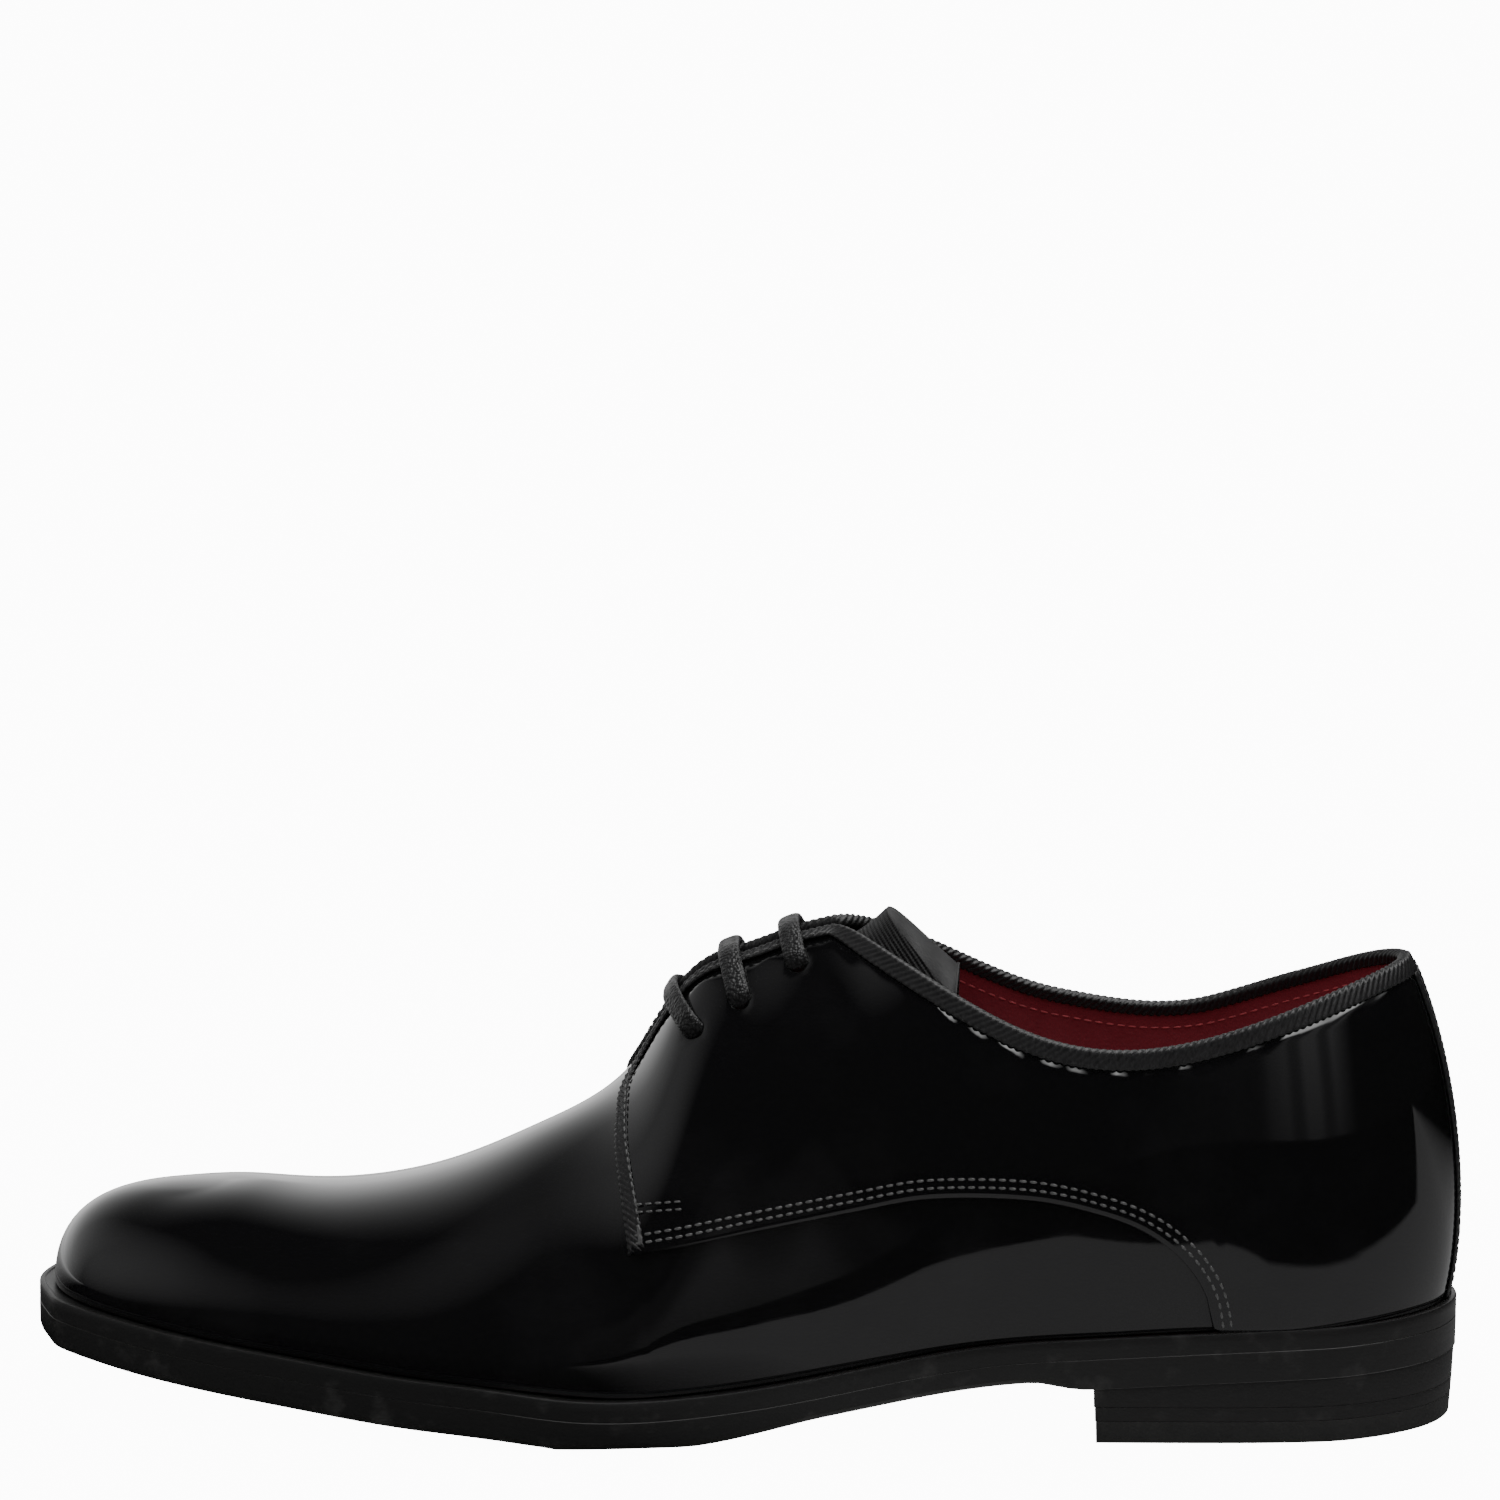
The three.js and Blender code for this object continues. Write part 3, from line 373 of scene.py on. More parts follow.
    def point(self, u: Array, h: Array) -> Array:
        """Points of the last's surface, before the frame's shift.

        Args:
            u: Ribs counted from the toe, round the lateral side; negative on the medial side.
            h: Share of the way up, from the welt to the ridge.

        Returns:
            (x, y, z) rows in millimetres.
        """
        row = self.ribs(np.mod(u, self.count))
        h = np.asarray(h, float)[..., None]
        k = 1 - h
        shares = k**3, 3 * k * k * h, 3 * k * h * h, h**3
        return sum(share * row[..., 3 * i:3 * i + 3] for i, share in enumerate(shares))

    def normal(self, u: Array, h: Array) -> Array:
        """Outward normals of the last's surface.

        Args:
            u: As in point().
            h: As in point().

        Returns:
            Unit vectors.
        """
        e = 0.01
        hh = np.clip(h, e, 1 - e)
        across = self.point(np.add(u, e), hh) - self.point(np.subtract(u, e), hh)
        upward = self.point(u, hh + e) - self.point(u, hh - e)
        return unit(np.cross(across, upward))

    def height_where(self, u: Array, below: Callable[[Array], Array]) -> Array:
        """The share of the way up each rib at which a test stops holding.

        Args:
            u: Ribs.
            below: Takes points and says which are below the limit.

        Returns:
            h for each rib.
        """
        low, high = np.zeros_like(u, float), np.ones_like(u, float)
        for _ in range(30):
            mid = (low + high) / 2
            under = below(self.point(u, mid))
            low, high = np.where(under, mid, low), np.where(under, high, mid)
        return (low + high) / 2

    def rib_at(self, x: Array, side: Side, h: float = 0.5) -> Array:
        """The rib count at which the surface reaches X.

        Args:
            x: Wanted X.
            side: Which side.
            h: Height share at which X is measured.

        Returns:
            Signed rib counts.
        """
        table = np.linspace(0, self.last_rib, 400)
        xs = self.point(table * side.value, np.full_like(table, h))[:, 0]
        return np.interp(x, xs, table) * side.value


# ---------------------------------------------------------------------------------------------- meshes
def mesh_object(name: str, points: Array, faces: Iterable[Sequence[int]]) -> bpy.types.Object:
    """A smooth-shaded mesh object.

    Args:
        name: Its name.
        points: Vertices in metres.
        faces: Vertex indices of each face.

    Returns:
        The object, linked to the scene.
    """
    mesh = bpy.data.meshes.new(name)
    mesh.from_pydata(points.tolist(), [], [list(map(int, f)) for f in faces])
    mesh.polygons.foreach_set("use_smooth", np.ones(len(mesh.polygons), bool))
    mesh.update()
    made = bpy.data.objects.new(name, mesh)
    bpy.context.scene.collection.objects.link(made)
    return made


def joined(parts: Sequence[tuple[Array, list]]) -> tuple[Array, list]:
    """Several meshes' points and faces as one.

    Args:
        parts: (points, faces) pairs.

    Returns:
        One such pair.
    """
    points, faces, start = [], [], 0
    for p, f in parts:
        points.append(p)
        faces += [[i + start for i in face] for face in f]
        start += len(p)
    return np.concatenate(points), faces


def grid_faces(rows: int, columns: int, close_rows: bool = False, close_columns: bool = False) -> list[list[int]]:
    """Quads of a grid of points stored row by row.

    Args:
        rows: Number of rows.
        columns: Points in each row.
        close_rows: Whether the last row joins the first.
        close_columns: Whether each row's last point joins its first.

    Returns:
        The quads.
    """
    out = []
    for i in range(rows if close_rows else rows - 1):
        for j in range(columns if close_columns else columns - 1):
            i2, j2 = (i + 1) % rows, (j + 1) % columns
            out.append([i * columns + j, i2 * columns + j, i2 * columns + j2, i * columns + j2])
    return out


class Sheet:
    """A patch of the last's surface, ready to be given a thickness."""

    def __init__(self, form: Form, u: Array, h: Array) -> None:
        """Samples the surface and joins what meets at the ridge.

        Args:
            form: The shoe's form.
            u: Grid of rib counts.
            h: Grid of height shares.
        """
        self.form = form
        points = form.point(u, h).reshape(-1, 3)
        normals = form.normal(u, h).reshape(-1, 3)
        keys = np.round(points, 3)
        _, first, back = np.unique(keys, axis=0, return_index=True, return_inverse=True)
        back = back.reshape(-1)
        self.points = points[first]
        total = np.zeros_like(self.points)
        np.add.at(total, back, normals)
        self.normals = unit(total)
        self.index = back.reshape(u.shape)
        self.faces = []
        for face in grid_faces(*u.shape):
            kept = [int(back[i]) for i in face]
            kept = [v for k, v in enumerate(kept) if v != kept[k - 1]]
            if len(kept) > 2:
                self.faces.append(kept)
        a, b, c = (self.points[self.faces[len(self.faces) // 2][k]] for k in (0, 1, 2))
        if np.dot(np.cross(b - a, c - a), self.normals[self.faces[len(self.faces) // 2][0]]) < 0:
            self.faces = [f[::-1] for f in self.faces]

    def faired(self, x: float, y: float, radius: float) -> "Sheet":
        """Evens out the surface where its ribs run together.

        Args:
            x: X of the middle of that place.
            y: Y of its middle.
            radius: How far around there the surface is evened out.

        Returns:
            The sheet itself.
        """
        a, b = (self.points[:, :2] - (x, y)).T / radius
        powers = [(i, j) for i in range(4) for j in range(4 - i)]
        terms = np.stack([a**i * b**j for i, j in powers], 1)
        far = np.hypot(a, b)
        ring = (far > 0.8) & (far < 1.5)
        even = np.linalg.lstsq(terms[ring], self.points[ring, 2], rcond=None)[0]
        share = 1 - smooth(far, 0.7, 1.15)
        along = sum(c * i * a ** max(i - 1, 0) * b**j for c, (i, j) in zip(even, powers)) / radius
        across = sum(c * j * a**i * b ** max(j - 1, 0) for c, (i, j) in zip(even, powers)) / radius
        upright = unit(np.stack([-along, -across, np.ones_like(a)], 1))
        self.points[:, 2] += (terms @ even - self.points[:, 2]) * share
        self.normals = unit(self.normals + (upright - self.normals) * share[:, None])
        return self

    def punch(self, centres: Array, radius: float) -> "Sheet":
        """Cuts round holes.

        Args:
            centres: Points on the surface.
            radius: The holes' radius.

        Returns:
            The sheet itself.
        """
        for centre in centres:
            off = self.points - centre
            near = np.linalg.norm(off, axis=1)
            inside = near < radius
            self.faces = [f for f in self.faces if not inside[f].any()]
            ring = self._border() & (near < 2.2 * radius)
            self.points[ring] = centre + unit(off[ring]) * radius
        return self

    def _border(self) -> Array:
        """Which points lie on the sheet's border.

        Returns:
            True for each point that does.
        """
        mark = np.zeros(len(self.points), bool)
        for a, b in self._border_edges():
            mark[a] = mark[b] = True
        return mark

    def _border_edges(self) -> list[tuple[int, int]]:
        """Border edges, each with the sheet on its left."""
        edges = {(f[k - 1], f[k]) for f in self.faces for k in range(len(f))}
        return [(a, b) for a, b in edges if (b, a) not in edges]

    def solid(self, inner: float | Array, outer: float | Array, bulge: float = 1.0,
              rounds: int = 4) -> tuple[Array, list]:
        """The sheet as a closed solid with rounded edges.

        Args:
            inner: Offset of the inner face from the last's surface.
            outer: Offset of the outer face.
            bulge: How far an edge stands out, in half thicknesses.
            rounds: Steps round an edge.

        Returns:
            Points in millimetres, and faces.
        """
        n = len(self.points)
        inner = np.broadcast_to(inner, n)[:, None]
        outer = np.broadcast_to(outer, n)[:, None]
        border = self._border_edges()
        out = np.zeros_like(self.points)
        for a, b in border:
            side = np.cross(self.points[b] - self.points[a], self.normals[a])
            out[a] += side
            out[b] += side
        out = unit(out)
        middle, half = self.points + self.normals * (inner + outer) / 2, (outer - inner) / 2
        rim = sorted({v for edge in border for v in edge})
        where = {v: k for k, v in enumerate(rim)}
        rings = []
        for k in range(1, rounds):
            a = math.pi * k / rounds
            rings.append((middle + half * (math.cos(a) * self.normals + bulge * math.sin(a) * out))[rim])
        points = np.concatenate([self.points + self.normals * outer, self.points + self.normals * inner, *rings])
        used = set(v for f in self.faces for v in f)
        faces = [list(f) for f in self.faces] + [[v + n for v in f[::-1]] for f in self.faces]
        for a, b in border:
            between = [2 * n + k * len(rim) for k in range(rounds - 1)]
            ladder = [(a, b), *((row + where[a], row + where[b]) for row in between), (a + n, b + n)]
            for (a0, b0), (a1, b1) in zip(ladder, ladder[1:]):
                faces.append([b0, a0, a1, b1])
        keep = sorted(used | {v + n for v in used} | set(range(2 * n, len(points))))
        new = {v: k for k, v in enumerate(keep)}
        return points[keep], [[new[v] for v in f] for f in faces]


@dataclass
class Track:
    """A line on the shoe with a frame at each point."""

    points: Array
    normals: Array
    outs: Array

    def even(self, step: float) -> "Track":
        """The same line at even distances.

        Args:
            step: Distance between points.

        Returns:
            The new track.
        """
        points, normals, outs = resample(self.points, step, self.normals, self.outs)
        return Track(points, unit(normals), unit(outs))

    def joined(self, other: "Track") -> "Track":
        """This track followed by another.

        Args:
            other: The one that follows.

        Returns:
            The new track.
        """
        return Track(*(np.concatenate([a, b]) for a, b in (
            (self.points, other.points), (self.normals, other.normals), (self.outs, other.outs))))

    def reversed(self) -> "Track":
        """The same line the other way."""
        return Track(self.points[::-1], self.normals[::-1], self.outs[::-1])

    def moved(self, out: float = 0, up: float = 0) -> "Track":
        """The line moved sideways in the surface and off it.

        Args:
            out: Sideways, along outs.
            up: Along the normals.

        Returns:
            The new track.
        """
        return Track(self.points + self.outs * out + self.normals * up, self.normals, self.outs)

    def softened(self, width: int) -> "Track":
        """The same line with its frame averaged over neighbours.

        Args:
            width: Points to average over.

        Returns:
            The new track.
        """
        def mean(a: Array) -> Array:
            """Averages the rows of a table, which keeps its length.

            Args:
                a: The table.

            Returns:
                The averaged table.
            """
            pad = np.pad(a, ((width, width), (0, 0)), mode="edge")
            kernel = np.hanning(2 * width + 3)[1:-1]
            kernel /= kernel.sum()
            return np.stack([np.convolve(pad[:, c], kernel, "valid") for c in range(3)], 1)
        return Track(self.points, unit(mean(self.normals)), unit(mean(self.outs)))


def sweep(track: Track, section: Array, lift: Array | None = None, capped: bool = True) -> tuple[Array, list]:
    """A closed cross section carried along a track.

    Args:
        track: The line.
        section: (out, up) rows of the closed section, or one such array for each point of the track.
        lift: Optional (points, section) distances by which each point moves away from the section's middle.
        capped: Whether the ends are closed.

    Returns:
        Points and faces.
    """
    n = len(track.points)
    section = np.broadcast_to(section, (n, *section.shape[-2:]))
    if lift is not None:
        middle = section.mean(axis=1, keepdims=True)
        section = section + unit(section - middle) * lift[..., None]
    rows = track.points[:, None] + section[..., :1] * track.outs[:, None] + section[..., 1:] * track.normals[:, None]
    m = section.shape[1]
    faces = [f[::-1] for f in grid_faces(n, m, close_columns=True)]
    points = rows.reshape(-1, 3)
    if capped:
        faces.append(list(range(m)))
        faces.append([(n - 1) * m + k for k in range(m)][::-1])
    return points, faces


# ---------------------------------------------------------------------------------------------- shaders
class Value:
    """A shader socket that takes part in Python arithmetic by adding Math nodes."""

    def __init__(self, tree: "Shader", socket: bpy.types.NodeSocket) -> None:
        """Wraps a socket.

        Args:
            tree: The shader that the socket belongs to.
            socket: An output socket.
        """
        self.tree, self.socket = tree, socket

    def _math(self, operation: str, a: "Value | float", b: "Value | float" = 0.0) -> "Value":
        """Adds one Math node.

        Args:
            operation: Its operation.
            a: First input.
            b: Second input.

        Returns:
            Its result.
        """
        return self.tree.node("ShaderNodeMath", {"operation": operation}, {0: a, 1: b})

    def __add__(self, other: "Value | float") -> "Value":
        """Sum."""
        return self._math("ADD", self, other)

    __radd__ = __add__

    def __sub__(self, other: "Value | float") -> "Value":
        """Difference."""
        return self._math("SUBTRACT", self, other)

    def __rsub__(self, other: "Value | float") -> "Value":
        """Difference, reflected."""
        return self._math("SUBTRACT", other, self)

    def __mul__(self, other: "Value | float") -> "Value":
        """Product."""
        return self._math("MULTIPLY", self, other)

    __rmul__ = __mul__

    def __truediv__(self, other: "Value | float") -> "Value":
        """Quotient."""
        return self._math("DIVIDE", self, other)

    def __pow__(self, other: "Value | float") -> "Value":
        """Power."""
        return self._math("POWER", self, other)

    def sine(self) -> "Value":
        """Sine."""
        return self._math("SINE", self)

    def clamped(self, low: float = 0.0, high: float = 1.0) -> "Value":
        """The value kept between two limits."""
        return self._math("MINIMUM", self._math("MAXIMUM", self, low), high)


Input = Value | float | tuple


class Shader:
    """A node material under construction."""

    def __init__(self, name: str) -> None:
        """Makes an empty material with a Principled shader.

        Args:
            name: The material's name.
        """
        self.material = bpy.data.materials.new(name)
        self.material.use_nodes = True
        self.nodes, self.links = self.material.node_tree.nodes, self.material.node_tree.links
        self.principled = self.nodes["Principled BSDF"]
        self.place = self.node("ShaderNodeTexCoord", {}, {}, "Object")

    def node(self, kind: str, settings: dict, inputs: dict[int | str, Input], output: int | str = 0) -> Value:
        """Adds a node.

        Args:
            kind: Its type.
            settings: Attributes, set first; "stops" holds a ramp's (position, colour) pairs.
            inputs: Values or links of its sockets, by name or number.
            output: The output that is wanted.

        Returns:
            That output.
        """
        made = self.nodes.new(kind)
        for key, value in settings.items():
            if key == "stops":
                for element, (at, colour) in zip(self._elements(made, len(value)), value):
                    element.position, element.color = at, (*colour, 1)
            else:
                setattr(made, key, value)
        for key, value in inputs.items():
            self.feed(made.inputs[key], value)
        return Value(self, made.outputs[output])

    @classmethod
    def inside(cls, tree: bpy.types.NodeTree) -> "Shader":
        """Works in a node tree that is already there, such as a world's.

        Args:
            tree: The tree.

        Returns:
            The shader.
        """
        made = cls.__new__(cls)
        made.nodes, made.links = tree.nodes, tree.links
        made.place = made.node("ShaderNodeTexCoord", {}, {}, "Generated")
        return made

    def finish(self, surface: "Value") -> None:
        """Makes another shader the material's surface, in place of the Principled one."""
        self.nodes.remove(self.principled)
        self.feed(self.nodes["Material Output"].inputs["Surface"], surface)

    def step(self, value: "Value", low: float, high: float) -> "Value":
        """A straight ramp from 0 at one value to 1 at another."""
        return ((value - low) / (high - low)).clamped()

    @staticmethod
    def _elements(ramp: bpy.types.Node, count: int) -> list:
        """A colour ramp's elements, as many as wanted.

        Args:
            ramp: The ramp's node.
            count: How many are wanted.

        Returns:
            The elements.
        """
        elements = ramp.color_ramp.elements
        while len(elements) < count:
            elements.new(0.5)
        return list(elements)

    def feed(self, socket: bpy.types.NodeSocket, value: Input) -> None:
        """Links a value to a socket, or sets it.

        Args:
            socket: Where it goes.
            value: What goes there.
        """
        if isinstance(value, Value):
            self.links.new(value.socket, socket)
        else:
            socket.default_value = value

    def set(self, **sockets: Input) -> None:
        """Feeds the Principled shader's sockets, whose names are written with _ for each space.

        Args:
            **sockets: Values by socket name.
        """
        for key, value in sockets.items():
            self.feed(self.principled.inputs[key.replace("_", " ")], value)

    def stretched(self, scale: tuple, turn: tuple = (0, 0, 0)) -> Value:
        """Object coordinates, scaled.

        Args:
            scale: Scale along each axis.
            turn: Rotation in radians.

        Returns:
            The vector.
        """
        return self.node("ShaderNodeMapping", {}, {"Vector": self.place, "Scale": scale, "Rotation": turn})

    def noise(self, scale: float, detail: float = 3.0, roughness: float = 0.5, at: Value | None = None) -> Value:
        """Noise from 0 to 1.

        Args:
            scale: Its scale, in features a metre.
            detail: Octaves.
            roughness: How strong the fine octaves are.
            at: Coordinates, or None for the object's own.

        Returns:
            The value.
        """
        inputs = {"Vector": at or self.place, "Scale": scale, "Detail": detail, "Roughness": roughness}
        return self.node("ShaderNodeTexNoise", {}, inputs, 0)

    def cells(self, scale: float, feature: str = "F1", at: Value | None = None) -> Value:
        """Distance in a Voronoi pattern.

        Args:
            scale: Cells a metre.
            feature: Which distance.
            at: Coordinates, or None for the object's own.

        Returns:
            The value.
        """
        inputs = {"Vector": at or self.place, "Scale": scale}
        return self.node("ShaderNodeTexVoronoi", {"feature": feature}, inputs, 0)

    def axis(self, which: str) -> Value:
        """One object coordinate, in metres."""
        return self.node("ShaderNodeSeparateXYZ", {}, {0: self.place}, which)

    def mixed(self, share: Value, a: tuple, b: tuple) -> Value:
        """A colour between two.

        Args:
            share: How much of the second.
            a: First colour.
            b: Second colour.

        Returns:
            The colour.
        """
        inputs = {0: share, 6: (*a, 1), 7: (*b, 1)}
        return self.node("ShaderNodeMix", {"data_type": "RGBA"}, inputs, 2)

    def bumped(self, height: Value, distance: float, strength: float = 1.0, onto: Value | None = None) -> Value:
        """A bumped normal.

        Args:
            height: The height field.
            distance: Height of 1, in metres.
            strength: The bump's strength.
            onto: A normal to add it to.

        Returns:
            The normal.
        """
        inputs = {"Height": height, "Distance": distance, "Strength": strength}
        if onto is not None:
            inputs["Normal"] = onto
        return self.node("ShaderNodeBump", {}, inputs)


@dataclass(frozen=True)
class PatentLeather:
    """Leather under a thick, glossy black film."""

    name: str = "patent_leather"
    film: tuple = (0.0035, 0.0035, 0.0038)
    worn: tuple = (0.009, 0.009, 0.0095)

    def material(self) -> bpy.types.Material:
        """Builds the material.

        Returns:
            The material.
        """
        s = Shader(self.name)
        smudge = s.noise(38, 4, 0.6)
        peel = s.noise(420, 2, 0.4)
        slow = s.noise(26, 2, 0.45)
        s.set(
            Base_Color=s.mixed((smudge - 0.5).clamped() * 1.4, self.film, self.worn),
            Roughness=(smudge - 0.45).clamped() * 0.12 + 0.045,
            Coat_Weight=1.0, Coat_Roughness=0.015, IOR=1.5,
            Normal=s.bumped(peel, 0.000006, 1.0, s.bumped(slow, 0.00018)),
        )
        return s.material


@dataclass(frozen=True)
class LiningLeather:
    """Dyed calf, finely grained."""

    name: str = "lining_leather"
    deep: tuple = (0.14, 0.011, 0.018)
    light: tuple = (0.26, 0.026, 0.038)

    def material(self) -> bpy.types.Material:
        """Builds the material.

        Returns:
            The material.
        """
        s = Shader(self.name)
        tone = s.noise(60, 5, 0.6)
        grain = s.cells(1500)
        s.set(
            Base_Color=s.mixed(tone, self.deep, self.light),
            Roughness=tone * 0.16 + 0.36,
            Normal=s.bumped(grain * 0.6 + s.noise(700, 3) * 0.5, 0.00009),
        )
        return s.material


@dataclass(frozen=True)
class Ribbon:
    """Ribbed silk, woven, with a painted sheen on its raised threads."""

    name: str = "ribbon"
    shade: tuple = (0.003, 0.003, 0.0032)
    # painted sheen: the lighter colour goes where the threads stand up, standing in for the silk's highlights
    painted_sheen: tuple = (0.022, 0.022, 0.0225)

    def material(self) -> bpy.types.Material:
        """Builds the material.

        Returns:
            The material.
        """
        s = Shader(self.name)
        thread = s.noise(2600, 2, 0.5, s.stretched((1.0, 1.0, 0.35)))
        s.set(
            # painted sheen in the base colour: lighter on the raised threads, darker in the hollows between them
            Base_Color=s.mixed(thread, self.shade, self.painted_sheen),
            Roughness=thread * 0.2 + 0.3,
            Normal=s.bumped(thread, 0.00006),
        )
        return s.material


@dataclass(frozen=True)
class TongueCloth:
    """Ribbed cloth, its ribs across the tongue, with a painted sheen on their crests."""

    name: str = "tongue_cloth"
    shade: tuple = (0.0022, 0.0022, 0.0024)
    # painted sheen: the lighter colour goes on the crests of the ribs, broken up at random, standing in for their
    # highlights
    painted_sheen: tuple = (0.012, 0.012, 0.0125)
    pitch: float = 0.0009

    def material(self) -> bpy.types.Material:
        """Builds the material.

        Returns:
            The material.
        """
        s = Shader(self.name)
        x, y, z = (s.axis(a) for a in "XYZ")
        turn = 2 * math.pi / self.pitch
        ribs = ((x * 0.78 + z * 0.62) * turn).sine() * 0.5 + 0.5
        warp = ((y * 0.9 - x * 0.4 + z * 0.5) * (turn * 1.3)).sine() * 0.5 + 0.5
        weave = ribs * 0.7 + warp * 0.3
        s.set(
            # painted sheen in the base colour: lighter on the rib crests
            Base_Color=s.mixed(weave * s.noise(900, 3), self.shade, self.painted_sheen),
            Roughness=weave * -0.15 + 0.75,
            Sheen_Weight=0.03, Sheen_Roughness=0.4,
            Normal=s.bumped(weave, 0.00025),
        )
        return s.material


@dataclass(frozen=True)
class WaxedCord:
    """Braided cotton, waxed, with a painted sheen on its raised strands."""

    name: str = "lace_cord"
    shade: tuple = (0.002, 0.002, 0.0021)
    # painted sheen: the lighter colour goes on the raised middles of the braid's strands, standing in for their glints
    painted_sheen: tuple = (0.014, 0.014, 0.0145)

    def material(self) -> bpy.types.Material:
        """Builds the material.

        Returns:
            The material.
        """
        s = Shader(self.name)
        thread = s.cells(1500)
        s.set(
            # painted sheen in the base colour: lighter on the raised strands, darker in the grooves between them
            Base_Color=s.mixed(thread, self.painted_sheen, self.shade),
            Roughness=thread * 0.2 + 0.3,
            Normal=s.bumped(1 - thread, 0.0003),
        )
        return s.material


@dataclass(frozen=True)
class InkedEdge:
    """Leather dyed black and burnished, with the marks of the tool running round it."""

    name: str = "sole_edge"
    shade: tuple = (0.0085, 0.0084, 0.0083)
    scuff: tuple = (0.06, 0.058, 0.056)
    gloss: float = 0.28
    marks: float = 0.00004

    def material(self) -> bpy.types.Material:
        """Builds the material.

        Returns:
            The material.
        """
        s = Shader(self.name)
        lines = s.noise(60, 4, 0.6, s.stretched((1, 1, 28)))
        grain = s.noise(900, 3)
        rubbed = (s.noise(120, 5, 0.65) * 2.4 - 1.35).clamped()
        s.set(
            Base_Color=s.mixed(rubbed * lines, self.shade, self.scuff),
            Roughness=lines * 0.2 + self.gloss,
            Normal=s.bumped(lines + grain * 0.4, self.marks),
        )
        return s.material


@dataclass(frozen=True)
class Rubber:
    """Matt rubber with a fine moulded grain."""

    name: str = "top_rubber"

    def material(self) -> bpy.types.Material:
        """Builds the material.

        Returns:
            The material.
        """
        s = Shader(self.name)
        grain = s.cells(1100)
        s.set(
            Base_Color=s.mixed(s.noise(200, 4), (0.006, 0.006, 0.006), (0.016, 0.016, 0.015)),
            Roughness=grain * 0.15 + 0.55, Normal=s.bumped(grain, 0.00005),
        )
        return s.material


@dataclass(frozen=True)
class Metal:
    """Drawn or rolled metal."""

    name: str
    bright: tuple
    dull: tuple
    grain: tuple = (1, 18, 18)

    def material(self) -> bpy.types.Material:
        """Builds the material.

        Returns:
            The material.
        """
        s = Shader(self.name)
        lines = s.noise(400, 4, 0.6, s.stretched(self.grain))
        s.set(
            Base_Color=s.mixed(lines, self.dull, self.bright), Metallic=1.0,
            Roughness=lines * 0.25 + 0.22, Normal=s.bumped(lines, 0.00002),
        )
        return s.material


@dataclass(frozen=True)
class Fibre:
    """Undyed leatherboard, or cork in coarse grains."""

    name: str
    light: tuple
    dark: tuple
    grains: float

    def material(self) -> bpy.types.Material:
        """Builds the material.

        Returns:
            The material.
        """
        s = Shader(self.name)
        grain = s.cells(self.grains)
        s.set(
            Base_Color=s.mixed(grain * s.noise(self.grains * 0.4, 4) * 2.2, self.light, self.dark),
            Roughness=0.85, Normal=s.bumped(grain, 0.0001),
        )
        return s.material


@dataclass(frozen=True)
class Thread:
    """Waxed sewing thread, with a painted sheen along its twist."""

    name: str
    shade: tuple
    # painted sheen: the lighter colour goes where the twist stands up, standing in for the thread's glints
    painted_sheen: tuple
    gloss: float = 0.25

    def material(self) -> bpy.types.Material:
        """Builds the material.

        Returns:
            The material.
        """
        s = Shader(self.name)
        twist = s.noise(3500, 2)
        s.set(
            # painted sheen in the base colour: lighter on the raised twist
            Base_Color=s.mixed(twist, self.shade, self.painted_sheen),
            Roughness=twist * 0.2 + self.gloss, Normal=s.bumped(twist, 0.00003),
        )
        return s.material


class Finishes:
    """Every material, built once."""

    def __init__(self) -> None:
        """Builds them."""
        kinds = (
            PatentLeather(), LiningLeather(), Ribbon(), TongueCloth(), WaxedCord(), InkedEdge(),
            InkedEdge("heel_leather", gloss=0.42, marks=0.00009), Rubber(),
            Metal("nail_steel", (0.62, 0.62, 0.63), (0.3, 0.3, 0.31)),
            Metal("shank_steel", (0.5, 0.5, 0.52), (0.22, 0.22, 0.23), (3, 18, 18)),
            Metal("eyelet_brass", (0.4, 0.29, 0.12), (0.1, 0.07, 0.03), (6, 6, 6)),
            Fibre("cork", (0.48, 0.31, 0.17), (0.16, 0.09, 0.045), 700),
            Fibre("board", (0.5, 0.36, 0.23), (0.3, 0.2, 0.12), 1800),
            # each thread's second colour is its painted sheen
            Thread("black_thread", (0.02, 0.02, 0.02), (0.1, 0.1, 0.1), 0.1),
            Thread("red_thread", (0.3, 0.03, 0.045), (0.55, 0.08, 0.09), 0.4),
        )
        self.by_name = {kind.name: kind.material() for kind in kinds}
        self.by_name["aglet_plastic"] = self.by_name["lace_cord"]

    def dress(self, piece: bpy.types.Object, finish: str, slot: str | None = None) -> None:
        """Gives a piece its material.

        Args:
            piece: The piece.
            finish: The material's name.
            slot: Not used.
        """
        piece.data.materials.clear()
        piece.data.materials.append(self.by_name[finish])


# ---------------------------------------------------------------------------------------------- pieces
class Maker:
    """What the sub-assemblies share: the form, the finishes, and how a mesh becomes a piece."""

    def __init__(self, form: Form, finishes: Finishes) -> None:
        """Keeps them.

        Args:
            form: The shoe's form.
            finishes: The materials.
        """
        self.form, self.finishes = form, finishes

    def piece(self, name: str, shape: tuple[Array, list], finish: str, nodes: Sequence[str] = (),
              slot: str | None = None, body: str | None = BODY) -> bpy.types.Object:
        """Makes a piece and sets it on the frame.

        Args:
            name: Its name.
            shape: Points in millimetres before the frame's shift, and faces.
            finish: Its material.
            nodes: CAD nodes that it stands for.
            slot: Handed on to dress(), which doesn't use it.
            body: The body that it rides on, or None to leave that to the caller.

        Returns:
            The object.
        """
        points, faces = shape
        made = mesh_object(name, (points + self.form.shift) * MM, faces)
        self.finishes.dress(made, finish, slot)
        if nodes:
            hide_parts(*nodes)
        if body:
            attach(made, body)
        log.info("%s: %d vertices", name, len(points))
        return made


